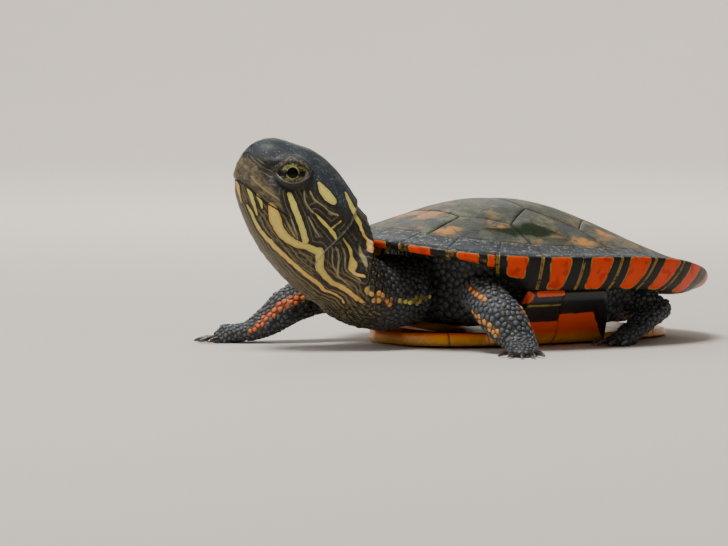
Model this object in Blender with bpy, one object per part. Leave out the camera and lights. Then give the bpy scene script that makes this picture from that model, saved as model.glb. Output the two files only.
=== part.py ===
"""Young painted turtle, life size, walking with its head raised and turned a little to its right.

Metres, +Z up. The turtle faces -Y, its left side is +X, and it stands on the plane Z = 0.
The origin lies on the flat underside of the shell, below the middle of the carapace.
"""

import math

import bmesh
import bpy
from mathutils import Matrix, Vector

MM = 0.001
GAP = 0.3 * MM  # clear space between neighbouring pieces
SINK = 0.25 * MM  # how far soles are modelled below the ground before they are cut flat

# Carapace: the rim is a superellipse in plan, wider behind the middle than in front of it.
SHELL_LENGTH = 56 * MM
SHELL_WIDTH = 46 * MM
RIM_POWER = 2.3
REAR_WIDENING = 0.04
RIM_HEIGHTS = [h * MM for h in (12.7, -0.6, -1.4, -3.3)]  # as powers of the share of the way to the tail
DOME_RISE = 7.1 * MM  # how far the middle of the back stands over the rim's own level
DOME_FORWARD = 3.9 * MM  # how much more it stands towards the head
DOME_SKIRT = 0.78  # how much the dome flattens out towards the rim
DOME_SKIRT_REAR = 0.36  # and how much more so at the back, where the rim flares
RIM_THICKNESS = 0.9 * MM
MARGINAL_INNER = 0.826  # where the marginal scutes begin, as a share of the way out to the rim
NUCHAL_HALF_TURN = 0.075  # half the nuchal scute's share of the rim, in radians
MARGINAL_STATIONS = 22
SHELL_THICKNESS = 1.0 * MM
UNDER_SHELL = 0.45 * MM  # clear space between the shell's inner face and the trunk
BRIDGE_FRONT_Y = -11.5 * MM
BRIDGE_FRONT_EASE = 3 * MM
BRIDGE_REAR_Y = 1 * MM
BRIDGE_REAR_EASE = 4.5 * MM
MARGINAL_DROP = 1.3 * MM  # depth of the marginals' underside over the neck
SIDE_DROP = 3.0 * MM  # and how much deeper it is along the sides

# Scute seams of the carapace, as distances from the shell's centre.
VERTEBRAL_SEAMS = [y * MM for y in (-14.6, -3.9, 6.8, 16.0)]
VERTEBRAL_SEAM_HALF_WIDTHS = [x * MM for x in (6.4, 7.4, 7.0, 5.4)]
VERTEBRAL_CORNERS = [(11.7 * MM, -9.7 * MM), (13.2 * MM, 1.1 * MM), (11.0 * MM, 11.6 * MM)]
FRONT_CORNER_X = 8.4 * MM
REAR_CORNER_X = 8.8 * MM
PLEURAL_SEAM_ENDS = [y * MM for y in (-10.2, 1.8, 13.4)]

# Plastron: two rounded lobes joined by the wide bridges, which rise to the marginals.
PLASTRON_FRONT_Y = -22.4 * MM
PLASTRON_REAR_Y = 24.2 * MM
LOBE_HALF_WIDTH = 14.0 * MM
FLANK_X = 19.2 * MM
FLANK_TOP = 6.6 * MM
PLASTRON_THICKNESS = 1.0 * MM
FRONT_LOBE_THICKER = 0.7 * MM
FLAT_FRONT_Y = -6.0 * MM  # ahead of this the plastron rises off the ground
FRONT_RISE = 0.3 * MM
PLASTRON_SEAMS = [y * MM for y in (-18.4, -13.2, -3.6, 7.6, 15.6)]
PLASTRON_SCUTES = ("gular", "humeral", "pectoral", "abdominal", "femoral", "anal")

# Head, in its own frame: forward is -Y from the fold behind the ear, up is +Z from the mouth line.
HEAD_AT = Vector((0.6, -30.6, 12.9)) * MM
HEAD_YAW = math.radians(-19)
HEAD_PITCH = math.radians(35)
# Distance forward, top, widest level, underside and half width at each station.
HEAD_STATIONS = [
    (0.0, 6.6, -0.4, -7.7, 5.9),
    (2.2, 7.4, -0.1, -7.5, 6.3),
    (4.6, 8.4, 0.2, -7.2, 6.5),
    (7.2, 9.3, 0.6, -6.6, 6.3),
    (9.6, 9.7, 1.0, -5.9, 5.9),
    (11.8, 9.55, 1.5, -4.9, 5.35),
    (13.7, 9.0, 1.9, -3.8, 4.7),
    (15.4, 8.5, 2.2, -2.7, 4.0),
    (16.9, 7.9, 2.4, -1.5, 3.2),
    (18.1, 7.0, 2.6, -0.2, 2.3),
    (18.9, 5.9, 3.1, 1.1, 1.4),
]
SNOUT = Vector((0, -19.4, 3.7)) * MM
EYE_AT = Vector((3.3, -12.5, 5.0)) * MM
EYE_RADIUS = 2.5 * MM
MOUTH_CORNER_Y = -10.6 * MM
JAW_REACH = 12 * MM  # how far the jaw's cutters reach past it

WEB_THICKNESS = 0.6 * MM
WEB_REACH = 0.64  # how far along the toes the web runs

# Neck, from behind the head down into the shell: sideways place, then y and z of its back and of its throat,
# then half width, in millimetres.
NECK_STATIONS = [
    (1.0, -27.7, 17.0, -33.8, 6.2, 6.5),
    (1.1, -28.8, 14.2, -31.0, 4.2, 6.8),
    (0.9, -27.4, 12.9, -27.8, 2.8, 7.2),
    (0.5, -24.4, 12.6, -24.3, 2.25, 7.5),
    (0.0, -20.0, 12.6, -19.8, 2.65, 7.4),
]
NECK_POWER = 2.4


def material(name, colour, roughness):
    """A Principled BSDF with one base colour."""
    made = bpy.data.materials.new(name)
    made.use_nodes = True
    shader = made.node_tree.nodes["Principled BSDF"]
    shader.inputs["Base Color"].default_value = (*colour, 1)
    shader.inputs["Roughness"].default_value = roughness
    return made


def clear_scene():
    for obj in list(bpy.data.objects):
        bpy.data.objects.remove(obj)


def collection(name):
    made = bpy.data.collections.new(name)
    bpy.context.scene.collection.children.link(made)
    return made


def smoothstep(low, high, value):
    """0 below low, 1 above high, and an even ease between them."""
    share = min(1, max(0, (value - low) / (high - low)))
    return share * share * (3 - 2 * share)


def object_from(bm, name, skin=None, place=None):
    """Turns a bmesh into an object, in the turtle's collection or among the cutters."""
    bmesh.ops.recalc_face_normals(bm, faces=bm.faces)
    mesh = bpy.data.meshes.new(name)
    bm.to_mesh(mesh)
    bm.free()
    mesh.shade_smooth()
    if place:
        mesh.transform(place)
    obj = bpy.data.objects.new(name, mesh)
    if skin:
        mesh.materials.append(skin)
        turtle.objects.link(obj)
    else:
        cutters.objects.link(obj)
        obj.hide_render = True
        obj.display_type = "WIRE"
    return obj


def loft(rings, name, skin=None, place=None, start=None, end=None):
    """A closed body through rings of equally many points, closed by a point or a flat face at each end."""
    bm = bmesh.new()
    rows = [[bm.verts.new(point) for point in ring] for ring in rings]
    for near, far in zip(rows, rows[1:]):
        for i in range(len(near)):
            j = (i + 1) % len(near)
            bm.faces.new((near[i], near[j], far[j], far[i]))
    for row, tip in ((rows[0], start), (rows[-1], end)):
        if tip is None:
            bm.faces.new(row)
            continue
        pole = bm.verts.new(tip)
        for i in range(len(row)):
            bm.faces.new((row[i], row[(i + 1) % len(row)], pole))
    return object_from(bm, name, skin, place)


def boolean(obj, other, operation):
    """Cuts, joins or crosses obj with other, worked a thousand times as large to keep small edges apart."""
    enlarge = Matrix.Scale(1000, 4)
    for each in (obj, other):
        each.data.transform(enlarge)
    modifier = obj.modifiers.new(operation.title(), "BOOLEAN")
    modifier.operation = operation
    modifier.solver = "EXACT"
    modifier.object = other
    graph = bpy.context.evaluated_depsgraph_get()
    result = bpy.data.meshes.new_from_object(obj.evaluated_get(graph))
    obj.modifiers.clear()
    bm = bmesh.new()
    bm.from_mesh(result)
    bmesh.ops.remove_doubles(bm, verts=bm.verts, dist=0.005)
    bmesh.ops.dissolve_degenerate(bm, edges=bm.edges, dist=0.005)
    bm.to_mesh(result)
    bm.free()
    result.transform(enlarge.inverted())
    other.data.transform(enlarge.inverted())
    obj.data = result
    return obj


def box(name, low, high, place=None):
    """A cutter block between two corners."""
    bm = bmesh.new()
    fit = Matrix.Translation((low + high) / 2) @ Matrix.Diagonal((*(high - low), 1))
    bmesh.ops.create_cube(bm, size=1, matrix=fit)
    return object_from(bm, name, None, place)


def ball(name, centre, radius, skin=None, place=None, segments=16, rings=10):
    """A sphere with its poles up and down."""
    bm = bmesh.new()
    bmesh.ops.create_uvsphere(
        bm, u_segments=segments, v_segments=rings, radius=radius, matrix=Matrix.Translation(centre)
    )
    return object_from(bm, name, skin, place)


def superellipse(side, up, down, power, count):
    """Points round a rounded section, as (sideways, upwards) pairs, with its own height above and below."""
    points = []
    for i in range(count):
        angle = math.tau * i / count
        cosine, sine = math.cos(angle), math.sin(angle)
        x = side * math.copysign(abs(cosine) ** (2 / power), cosine)
        z = (up if sine > 0 else down) * math.copysign(abs(sine) ** (2 / power), sine)
        points.append((x, z))
    return points


# ---------------------------------------------------------------- carapace


def rim_half_width(y):
    return SHELL_WIDTH / 2 * (1 + REAR_WIDENING * 2 * y / SHELL_LENGTH)


def share_out(x, y):
    """How far a plan position lies on its way from the shell's centre (0) to the rim (1)."""
    sideways = abs(x) / rim_half_width(y)
    lengthways = abs(y) / (SHELL_LENGTH / 2)
    return (sideways**RIM_POWER + lengthways**RIM_POWER) ** (1 / RIM_POWER)


def rim_x(y, share):
    """Half width of the line that lies at this share of the way out to the rim."""
    lengthways = abs(y) / (SHELL_LENGTH / 2)
    return rim_half_width(y) * max(0, share**RIM_POWER - lengthways**RIM_POWER) ** (1 / RIM_POWER)


def rim_plan(turn, share):
    """Plan position at a share of the way out, in a direction turned from the front towards the left."""
    direction = Vector((math.sin(turn), -math.cos(turn)))
    reach = SHELL_LENGTH / 4
    for _ in range(12):
        reach *= share / share_out(*(direction * reach))
    return direction * reach


def rim_height(y):
    """Level of the rim, lower towards the tail."""
    share = 2 * y / SHELL_LENGTH
    return sum(height * share**power for power, height in enumerate(RIM_HEIGHTS))


def carapace_height(x, y):
    """Height of the carapace's outer surface."""
    rearward = 2 * y / SHELL_LENGTH
    out = min(1, share_out(x, y)) ** 2
    skirt = DOME_SKIRT + DOME_SKIRT_REAR * rearward
    return rim_height(y) + (DOME_RISE - DOME_FORWARD * rearward) * (1 - out) * (1 - skirt * out)


def on_carapace(x, y, below=0):
    return Vector((x, y, carapace_height(x, y) - below))


def seam_line(start, end, count):
    """Points from one corner to the next, along the marginals' seam where both corners lie on it."""
    shares = [share_out(*start), share_out(*end)]
    if min(shares) < MARGINAL_INNER - 0.005:
        return [start.lerp(end, i / count) for i in range(count)]
    first, last = (math.atan2(p.x, -p.y) for p in (start, end))
    if last - first > math.pi:
        last -= math.tau
    if first - last > math.pi:
        last += math.tau
    return [rim_plan(first + (last - first) * i / count, MARGINAL_INNER) for i in range(count)]


def scute(name, corners, skin):
    """One plate of the carapace: its outline drawn in from its neighbours, laid on the dome and thickened."""
    outline = []
    for start, end in zip(corners, corners[1:] + corners[:1]):
        outline += seam_line(start, end, 4 if (end - start).length > 7 * MM else 2)
    centre = sum(outline, Vector((0, 0))) / len(outline)
    drawn_in = [p + (centre - p).normalized() * GAP * 0.62 for p in outline]
    rings = []
    for below, shares in ((SHELL_THICKNESS, (0.5, 1.0)), (0, (1.0, 0.55))):
        for share in shares:
            rings.append([on_carapace(*centre.lerp(p, share), below) for p in drawn_in])
    under, crown = on_carapace(*centre, SHELL_THICKNESS), on_carapace(*centre)
    return loft(rings, name, skin, start=under, end=crown)


def mirrored(points):
    return [Vector((-p.x, p.y)) for p in reversed(points)]


def carapace_scutes(skin):
    """Five vertebral scutes along the back and four pleural scutes on each side."""
    seam_ends = [Vector((x, y)) for x, y in zip(VERTEBRAL_SEAM_HALF_WIDTHS, VERTEBRAL_SEAMS)]
    corners = [Vector(c) for c in VERTEBRAL_CORNERS]
    front = rim_plan(math.asin(FRONT_CORNER_X / (MARGINAL_INNER * SHELL_LENGTH / 2)), MARGINAL_INNER)
    rear = rim_plan(math.pi - math.asin(REAR_CORNER_X / (MARGINAL_INNER * SHELL_LENGTH / 2)), MARGINAL_INNER)
    rim = [Vector((rim_x(y, MARGINAL_INNER), y)) for y in PLEURAL_SEAM_ENDS]
    left_sides = [
        [front, seam_ends[0]],
        [seam_ends[0], corners[0], seam_ends[1]],
        [seam_ends[1], corners[1], seam_ends[2]],
        [seam_ends[2], corners[2], seam_ends[3]],
        [seam_ends[3], rear],
    ]
    for i, side in enumerate(left_sides):
        scute(f"vertebral_scute_{i + 1}", side + mirrored(side), skin)
    pleurals = [
        [seam_ends[0], front, rim[0], corners[0]],
        [seam_ends[1], corners[0], rim[0], rim[1], corners[1]],
        [seam_ends[2], corners[1], rim[1], rim[2], corners[2]],
        [seam_ends[3], corners[2], rim[2], rear],
    ]
    for i, outline in enumerate(pleurals):
        scute(f"pleural_scute_left_{i + 1}", outline, skin)
        scute(f"pleural_scute_right_{i + 1}", mirrored(outline), skin)


def along_bridge(y):
    """1 beside the bridge, easing to 0 at the leg openings."""
    opened = smoothstep(BRIDGE_FRONT_Y - BRIDGE_FRONT_EASE, BRIDGE_FRONT_Y, y)
    return opened * (1 - smoothstep(BRIDGE_REAR_Y, BRIDGE_REAR_Y + BRIDGE_REAR_EASE, y))


def marginal_drop(y):
    """Depth of the marginal scutes from the rim to their lowest point."""
    deep = smoothstep(-0.76, -0.46, 2 * y / SHELL_LENGTH)
    shallow = smoothstep(0.5, 0.95, 2 * y / SHELL_LENGTH)
    return MARGINAL_DROP + SIDE_DROP * deep * (1 - 0.85 * shallow)


def marginal_section(turn):
    """Section of the marginal scutes in one direction: over the top, round the rim and back underneath."""
    inner = MARGINAL_INNER + GAP * 0.6 / (SHELL_WIDTH / 2)
    section = [on_carapace(*rim_plan(turn, share)) for share in (inner, 0.91, 0.98)]
    rim = rim_plan(turn, 1)
    top = carapace_height(*rim)
    drop = marginal_drop(rim.y)
    section.append(Vector((*rim, top - RIM_THICKNESS * 0.45)))
    for share, fall in ((0.985, 0.4), (0.945, 0.92), (0.9, 1.0)):
        fall = RIM_THICKNESS + (drop - RIM_THICKNESS) * fall
        section.append(Vector((*rim_plan(turn, share), top - fall)))
    section.append(on_carapace(*rim_plan(turn, inner), SHELL_THICKNESS))
    return section


def marginals(skin):
    """The nuchal scute over the neck and the row of marginal scutes down each side."""
    seam = GAP / SHELL_LENGTH
    nuchal = [marginal_section(NUCHAL_HALF_TURN * (i - 2) / 2) for i in range(5)]
    loft(nuchal, "nuchal_scute", skin)
    for side, sign in (("left", 1), ("right", -1)):
        first, last = NUCHAL_HALF_TURN + 2 * seam, math.pi - seam
        turns = [first + (last - first) * i / MARGINAL_STATIONS for i in range(MARGINAL_STATIONS + 1)]
        loft([marginal_section(sign * turn) for turn in turns], f"marginal_scutes_{side}", skin)


# ---------------------------------------------------------------- plastron


def lobe_half_width(y):
    """Half width of the plastron's rounded lobes, narrower towards each end."""
    reach = min(1, y / (PLASTRON_REAR_Y if y > 0 else PLASTRON_FRONT_Y))
    return LOBE_HALF_WIDTH * (1 - reach**3.2) ** 0.5


def plastron_half_width(y):
    lobe = lobe_half_width(y)
    return lobe + (FLANK_X - lobe) * along_bridge(y)


def plastron_underside(x, y):
    """Height of the plastron's outer face: flat on the ground, rising ahead, outwards and up the bridges."""
    forward = max(0, FLAT_FRONT_Y - y) / (FLAT_FRONT_Y - PLASTRON_FRONT_Y)
    edge = max(0, abs(x) - 0.62 * lobe_half_width(y)) / (0.38 * LOBE_HALF_WIDTH)
    up_flank = max(0, abs(x) - 0.93 * LOBE_HALF_WIDTH) / (FLANK_X - 0.93 * LOBE_HALF_WIDTH)
    flank = along_bridge(y) * FLANK_TOP * min(1, up_flank) ** 1.25
    return FRONT_RISE * forward**1.5 + 0.5 * MM * min(1.4, edge) ** 2 + flank


def plastron_thickness(y):
    return PLASTRON_THICKNESS + FRONT_LOBE_THICKER * (1 - smoothstep(PLASTRON_SEAMS[0], FLAT_FRONT_Y, y))


def plastron_plate(name, front, rear, skin):
    """One pair of plastron scutes, from flank to flank between two seams."""
    columns, rows = 16, max(3, round((rear - front) / (2.4 * MM)))
    rings = []
    for i in range(rows + 1):
        y = front + (rear - front) * i / rows
        half = plastron_half_width(y)
        line = [Vector((half * (2 * j / columns - 1), y)) for j in range(columns + 1)]
        under = [Vector((*p, plastron_underside(*p))) for p in line]
        over = []
        for p in reversed(line):
            inset = Vector((p.x * (1 - 0.5 * MM / max(half, MM)), p.y))
            over.append(Vector((*inset, plastron_underside(*p) + plastron_thickness(y))))
        rings.append(under + over)
    return loft(rings, name, skin)


def plastron(skin):
    blunt = 0.4 * MM
    seams = [PLASTRON_FRONT_Y + blunt, *PLASTRON_SEAMS, PLASTRON_REAR_Y - blunt]
    for name, front, rear in zip(PLASTRON_SCUTES, seams, seams[1:]):
        plastron_plate(f"plastron_{name}", front + GAP / 2, rear - GAP / 2, skin)


# ---------------------------------------------------------------- flesh


def trunk_rings(swell, count=28):
    """Rings of the body inside the shell, from its belly to its back, swollen by a clearance."""
    rings = []
    for share in (0.35, 0.55, 0.66):
        rings.append((share, "under"))
    for share in (0.74, 0.68, 0.5, 0.25):
        rings.append((share, "over"))
    floor = PLASTRON_THICKNESS + FRONT_RISE + 1.1 * MM - swell
    ceiling = SHELL_THICKNESS + UNDER_SHELL - swell
    made = []
    for share, face in rings:
        ring = []
        for i in range(count):
            plan = rim_plan(math.tau * i / count, share + swell / (SHELL_WIDTH / 2))
            plan.y *= 0.9
            if face == "under":
                rise = 4.2 * MM * smoothstep(0.5, 0.85, share)
                ring.append(Vector((*plan, floor + rise)))
            else:
                sag = 1.6 * MM * smoothstep(0.66, 0.77, share)
                ring.append(Vector((*plan, carapace_height(*plan) - ceiling - sag)))
        made.append(ring)
    return made


def trunk(name, skin=None, swell=0):
    rings = trunk_rings(swell)
    floor = rings[0][0].z
    return loft(
        rings,
        name,
        skin,
        start=Vector((0, 0, floor)),
        end=on_carapace(0, 0, SHELL_THICKNESS + UNDER_SHELL - swell),
    )


def head_matrix():
    turned = Matrix.Rotation(HEAD_YAW, 4, "Z") @ Matrix.Rotation(-HEAD_PITCH, 4, "X")
    return Matrix.Translation(HEAD_AT) @ turned


def head_ring(forward, top, level, under, half_width, count=20):
    """Section across the head at one station, in the head's own frame."""
    points = superellipse(half_width * MM, (top - level) * MM, (level - under) * MM, 2.25, count)
    return [Vector((x, -forward * MM, level * MM + z)) for x, z in points]


def head_and_jaw(skin):
    """The head, with sockets for the eyes, and the lower jaw parted from it along the mouth."""
    place = head_matrix()
    rings = [head_ring(*station) for station in HEAD_STATIONS]
    head = loft(rings, "head", skin, place, end=SNOUT)
    jaw = loft(rings, "lower_jaw", skin, place, end=SNOUT)
    beyond = Vector((-JAW_REACH, 2 * SNOUT.y, -JAW_REACH))
    jaw_space = box("jaw_space", beyond, Vector((JAW_REACH, MOUTH_CORNER_Y, -GAP)), place)
    opening = box("jaw_opening", beyond, Vector((JAW_REACH, MOUTH_CORNER_Y + GAP, 0)), place)
    boolean(head, opening, "DIFFERENCE")
    boolean(jaw, jaw_space, "INTERSECT")
    for side, sign in (("left", 1), ("right", -1)):
        centre = Vector((sign * EYE_AT.x, EYE_AT.y, EYE_AT.z))
        socket = ball(f"socket_{side}", centre, EYE_RADIUS + GAP, place=place)
        boolean(head, socket, "DIFFERENCE")


def eyes(skin):
    place = head_matrix()
    for side, sign in (("left", 1), ("right", -1)):
        centre = Vector((sign * EYE_AT.x, EYE_AT.y, EYE_AT.z))
        ball(f"eye_{side}", centre, EYE_RADIUS, skin, place, segments=14, rings=8)


def neck(skin):
    """From the fold behind the head, down past the front of the shell and back under it."""
    place = head_matrix()
    forward, top, level, under, half_width = HEAD_STATIONS[0]
    rings = [[place @ p for p in head_ring(forward - GAP / MM, top, level, under, half_width)]]
    for x, top_y, top_z, under_y, under_z, half_width in NECK_STATIONS:
        over, below = mm(x, top_y, top_z), mm(x, under_y, under_z)
        up = (over - below) / 2
        points = superellipse(half_width * MM, 1, 1, NECK_POWER, 20)
        rings.append([(over + below) / 2 + Vector((side, 0, 0)) + up * z for side, z in points])
    return loft(rings, "neck", skin)


def tube_rings(stations, sides):
    """Rings along a limb. A station is a centre, half width, half thickness and its broad face's normal."""
    rings = []
    for i, (centre, wide, thick, facing) in enumerate(stations):
        before = stations[max(0, i - 1)][0]
        after = stations[min(len(stations) - 1, i + 1)][0]
        way = (after - before).normalized()
        normal = (facing - way * facing.dot(way)).normalized()
        across = way.cross(normal)
        points = superellipse(wide, thick, thick, 2.2, sides)
        rings.append([centre + across * x + normal * z for x, z in points])
    return rings


def mm(*numbers):
    return Vector(numbers) * MM


def limb_stations(points):
    """Stations from tuples of x, y, z, half width and half thickness in millimetres, and a facing."""
    return [(mm(x, y, z), w * MM, t * MM, Vector(facing).normalized()) for x, y, z, w, t, facing in points]


class Foot:
    """A webbed foot: where its toes start, which way it points, how they fan out and how high they arch."""

    def __init__(self, heel, heading, fan, lengths, root_radius, tip_radius, claw_length, arch=0.35 * MM):
        self.heel = heel
        self.heading = heading
        self.fan = fan
        self.lengths = lengths
        self.root_radius = root_radius
        self.tip_radius = tip_radius
        self.claw_length = claw_length
        self.arch = arch

    def toe(self, i):
        """Start and end of a toe's centreline, and its level direction."""
        share = i / (len(self.lengths) - 1) - 0.5
        angle = self.heading + self.fan * share
        way = Vector((math.sin(angle), -math.cos(angle), 0))
        start = self.heel + way * (0.2 + 0.17 * i) * MM
        end = self.heel + way * self.lengths[i]
        end.z = self.tip_radius - SINK
        return start, end, way


def toe(foot, i, name):
    """One toe, thick at its knuckle and blunt at its end."""
    start, end, way = foot.toe(i)
    knuckle = start.lerp(end, 0.5)
    knuckle.z += foot.arch * (1 - 0.1 * abs(i - 2))
    stations = [
        (start, foot.root_radius * (1 - 0.03 * i), foot.root_radius * (0.8 - 0.03 * i), Vector((0, 0, 1))),
        (knuckle, foot.tip_radius * 1.25, foot.tip_radius * 1.3, Vector((0, 0, 1))),
        (end - way * 0.5 * MM, foot.tip_radius, foot.tip_radius, Vector((0, 0, 1))),
        (end, foot.tip_radius * 0.8, foot.tip_radius * 0.8, Vector((0, 0, 1))),
    ]
    return loft(tube_rings(stations, 8), name)


def web(foot, name):
    """The thin web between the toes, scalloped from toe to toe."""
    outline = []
    for i in range(len(foot.lengths)):
        start, end, _ = foot.toe(i)
        if i:
            outline.append((outline[-1] + start.lerp(end, WEB_REACH)) / 2 * 0.94 + start * 0.06)
        outline.append(start.lerp(end, WEB_REACH))
    across = foot.toe(len(foot.lengths) - 1)[2] - foot.toe(0)[2]
    outline += [foot.heel + across * foot.root_radius, foot.heel - across * foot.root_radius]
    rings = [[Vector((p.x, p.y, level)) for p in outline] for level in (-2 * SINK, WEB_THICKNESS)]
    return loft(rings, name)


def claw(foot, i, name, skin):
    """A claw that carries on from its toe and curves down to its point."""
    start, end, way = foot.toe(i)
    rings = []
    steps = 3
    for k in range(steps):
        t = k / steps
        centre = end + way * (1.3 * GAP + foot.claw_length * t)
        centre.z += foot.tip_radius * 0.25 + foot.claw_length * (0.16 * t - 0.42 * t * t)
        radius = foot.tip_radius * 0.72 * (1 - 0.62 * t)
        pitch = math.atan(0.16 - 0.84 * t)
        up = Vector((0, 0, 1)) * math.cos(pitch) - way * math.sin(pitch)
        side = way.cross(Vector((0, 0, 1)))
        points = superellipse(radius * 0.85, radius, radius, 2, 6)
        rings.append([centre + side * x + up * z for x, z in points])
    tip = end + way * (GAP + foot.claw_length)
    tip.z = 0.22 * MM
    return loft(rings, name, skin, end=tip)


def limb(name, shafts, foot, clawed, trunk_space, ground, skin, horn):
    """A leg: its fleshy shafts down to the sole, with web and toes joined on, and its claws left separate."""
    leg = loft(tube_rings(limb_stations(shafts[0]), 12), name, skin)
    for i, stations in enumerate(shafts[1:]):
        boolean(leg, loft(tube_rings(limb_stations(stations), 12), f"{name}_shaft_{i + 2}"), "UNION")
    boolean(leg, web(foot, f"{name}_web"), "UNION")
    for i in range(len(foot.lengths)):
        boolean(leg, toe(foot, i, f"{name}_toe_{i + 1}"), "UNION")
    boolean(leg, trunk_space, "DIFFERENCE")
    boolean(leg, ground, "DIFFERENCE")
    for i in range(clawed):
        claw(foot, i, f"{name}_claw_{i + 1}", horn)
    return leg


UP = (0, 0, 1)

# Each leg runs from its root inside the shell to the front of its sole.
LEFT_FORELEG = [
    (9.5, -13.4, 7.2, 2.9, 2.7, UP),
    (12.8, -15.4, 7.4, 2.8, 2.5, UP),
    (15.6, -17.0, 7.5, 2.5, 2.3, (0.2, -0.2, 1)),
    (17.3, -17.4, 6.7, 2.8, 2.2, (0.7, -0.45, 0.5)),
    (19.0, -17.1, 5.1, 3.05, 2.2, (0.8, -0.5, 0.3)),
    (20.6, -16.6, 3.4, 2.9, 2.0, (0.8, -0.5, 0.3)),
    (22.0, -16.2, 1.9, 2.5, 1.5, (0.5, -0.3, 0.8)),
    (23.4, -16.6, 1.1, 2.3, 1.15, UP),
    (24.6, -17.4, 0.85, 1.9, 0.9, UP),
    (25.6, -18.1, 0.65, 1.2, 0.55, UP),
]
RIGHT_FORELEG = [
    (-10.2, -15.5, 7.6, 3.2, 3.0, UP),
    (-11.2, -20.5, 7.6, 3.1, 3.1, UP),
    (-11.7, -24.6, 7.2, 3.1, 3.1, UP),
    (-12.3, -27.8, 6.3, 3.1, 2.9, (0.0, -0.4, 1)),
    (-13.3, -30.6, 4.7, 3.0, 2.5, (0.0, -0.6, 1)),
    (-14.5, -32.9, 2.7, 2.8, 1.9, (0.0, -0.4, 1)),
    (-15.6, -34.8, 1.65, 2.7, 1.5, UP),
    (-16.5, -36.4, 1.4, 2.3, 1.3, UP),
    (-17.3, -37.9, 1.3, 1.7, 1.1, UP),
]
LEFT_HINDLEG = [
    (8.6, 14.6, 7.0, 3.6, 3.0, UP),
    (11.6, 12.6, 7.0, 3.3, 2.8, UP),
    (14.2, 11.2, 6.4, 2.8, 2.4, UP),
    (15.8, 11.8, 5.5, 2.2, 1.9, UP),
    (16.8, 12.8, 5.0, 1.5, 1.4, UP),
]
LEFT_HIND_FOOT = [
    (16.9, 13.9, 4.9, 1.0, 1.1, UP),
    (17.2, 12.4, 4.6, 1.7, 1.45, UP),
    (17.5, 10.2, 3.6, 2.1, 1.35, UP),
    (17.7, 8.0, 2.4, 2.4, 1.15, UP),
    (17.8, 6.2, 1.5, 2.4, 1.0, UP),
    (17.8, 4.9, 0.95, 1.5, 0.6, UP),
]
RIGHT_HINDLEG = [
    (-8.6, 15.0, 6.6, 3.4, 2.8, UP),
    (-13.0, 16.2, 5.9, 3.4, 2.7, UP),
    (-17.2, 17.4, 4.6, 3.1, 2.3, (-0.2, 0.2, 1)),
    (-20.2, 19.2, 3.7, 2.8, 2.1, (-0.2, 0.2, 1)),
    (-21.8, 21.8, 2.7, 2.3, 1.7, (-0.1, 0.4, 1)),
    (-22.9, 24.0, 1.7, 2.1, 1.4, (-0.1, 0.4, 1)),
    (-24.4, 25.9, 1.15, 2.4, 1.1, UP),
    (-26.0, 27.5, 0.95, 2.4, 0.9, UP),
    (-27.2, 28.6, 0.7, 1.5, 0.6, UP),
]


def legs(skin, horn):
    """Four legs in mid stride, each with five toes. The outermost hind toe has no claw."""
    trunk_space = trunk("trunk_space", swell=GAP)
    far = 0.1
    ground = box("ground", Vector((-far, -far, -0.01)), Vector((far, far, 0)))
    fore = {"root_radius": 1.1 * MM, "tip_radius": 0.68 * MM, "claw_length": 2.4 * MM}
    hind = {"root_radius": 1.0 * MM, "tip_radius": 0.72 * MM, "claw_length": 2.0 * MM}
    fore_lengths = [n * MM for n in (3.3, 3.9, 4.2, 3.9, 3.2)]
    hind_lengths = [n * MM for n in (3.4, 4.2, 4.6, 4.3, 3.6)]
    left_hand = Foot(mm(23.6, -16.9, 0.85), math.radians(52), math.radians(68), fore_lengths, **fore)
    right_hand = Foot(
        mm(-16.5, -35.8, 1.5), math.radians(-30), math.radians(-64), fore_lengths, arch=0.9 * MM, **fore
    )
    left_sole = Foot(mm(17.8, 7.2, 1.1), math.radians(2), math.radians(-62), hind_lengths, **hind)
    right_sole = Foot(mm(-26.2, 27.6, 0.85), math.radians(-128), math.radians(66), hind_lengths, **hind)
    limb("foreleg_left", [LEFT_FORELEG], left_hand, 5, trunk_space, ground, skin, horn)
    limb("foreleg_right", [RIGHT_FORELEG], right_hand, 5, trunk_space, ground, skin, horn)
    limb("hindleg_left", [LEFT_HINDLEG, LEFT_HIND_FOOT], left_sole, 4, trunk_space, ground, skin, horn)
    limb("hindleg_right", [RIGHT_HINDLEG], right_sole, 4, trunk_space, ground, skin, horn)


def tail(skin):
    """A short tapering tail, laid back and to the right."""
    stations = limb_stations([
        (0.4, 19.6, 4.4, 2.4, 2.0, UP),
        (-0.6, 22.2, 3.9, 2.1, 1.8, UP),
        (-3.0, 24.6, 3.1, 1.7, 1.5, UP),
        (-6.4, 26.2, 2.2, 1.25, 1.15, UP),
        (-9.8, 27.0, 1.4, 0.9, 0.85, UP),
        (-12.8, 27.3, 0.85, 0.6, 0.6, UP),
    ])
    return loft(tube_rings(stations, 10), "tail", skin, end=mm(-14.8, 27.3, 0.6))


clear_scene()
turtle = collection("painted_turtle")
cutters = collection("cutters")
skin_dark = material("skin_dark", (0.06, 0.065, 0.06), 0.55)
horn_dark = material("horn_dark", (0.08, 0.07, 0.055), 0.4)
scute_olive = material("scute_olive", (0.12, 0.13, 0.11), 0.45)
marginal_red = material("marginal_red", (0.45, 0.09, 0.03), 0.4)
plastron_orange = material("plastron_orange", (0.75, 0.32, 0.06), 0.4)
eye_olive = material("eye_olive", (0.25, 0.27, 0.1), 0.1)

carapace_scutes(scute_olive)
marginals(marginal_red)
plastron(plastron_orange)
trunk("trunk", skin_dark)
head_and_jaw(skin_dark)
eyes(eye_olive)
neck(skin_dark)
legs(skin_dark, horn_dark)
tail(skin_dark)
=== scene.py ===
"""Looks of a young painted turtle: its skin with scales and stripes, shell plates, eyes, claws and stage.

Metres, +Z up. The turtle faces -Y and its left side is +X. Work in the arrays below is in millimetres.
"""

import math

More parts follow.
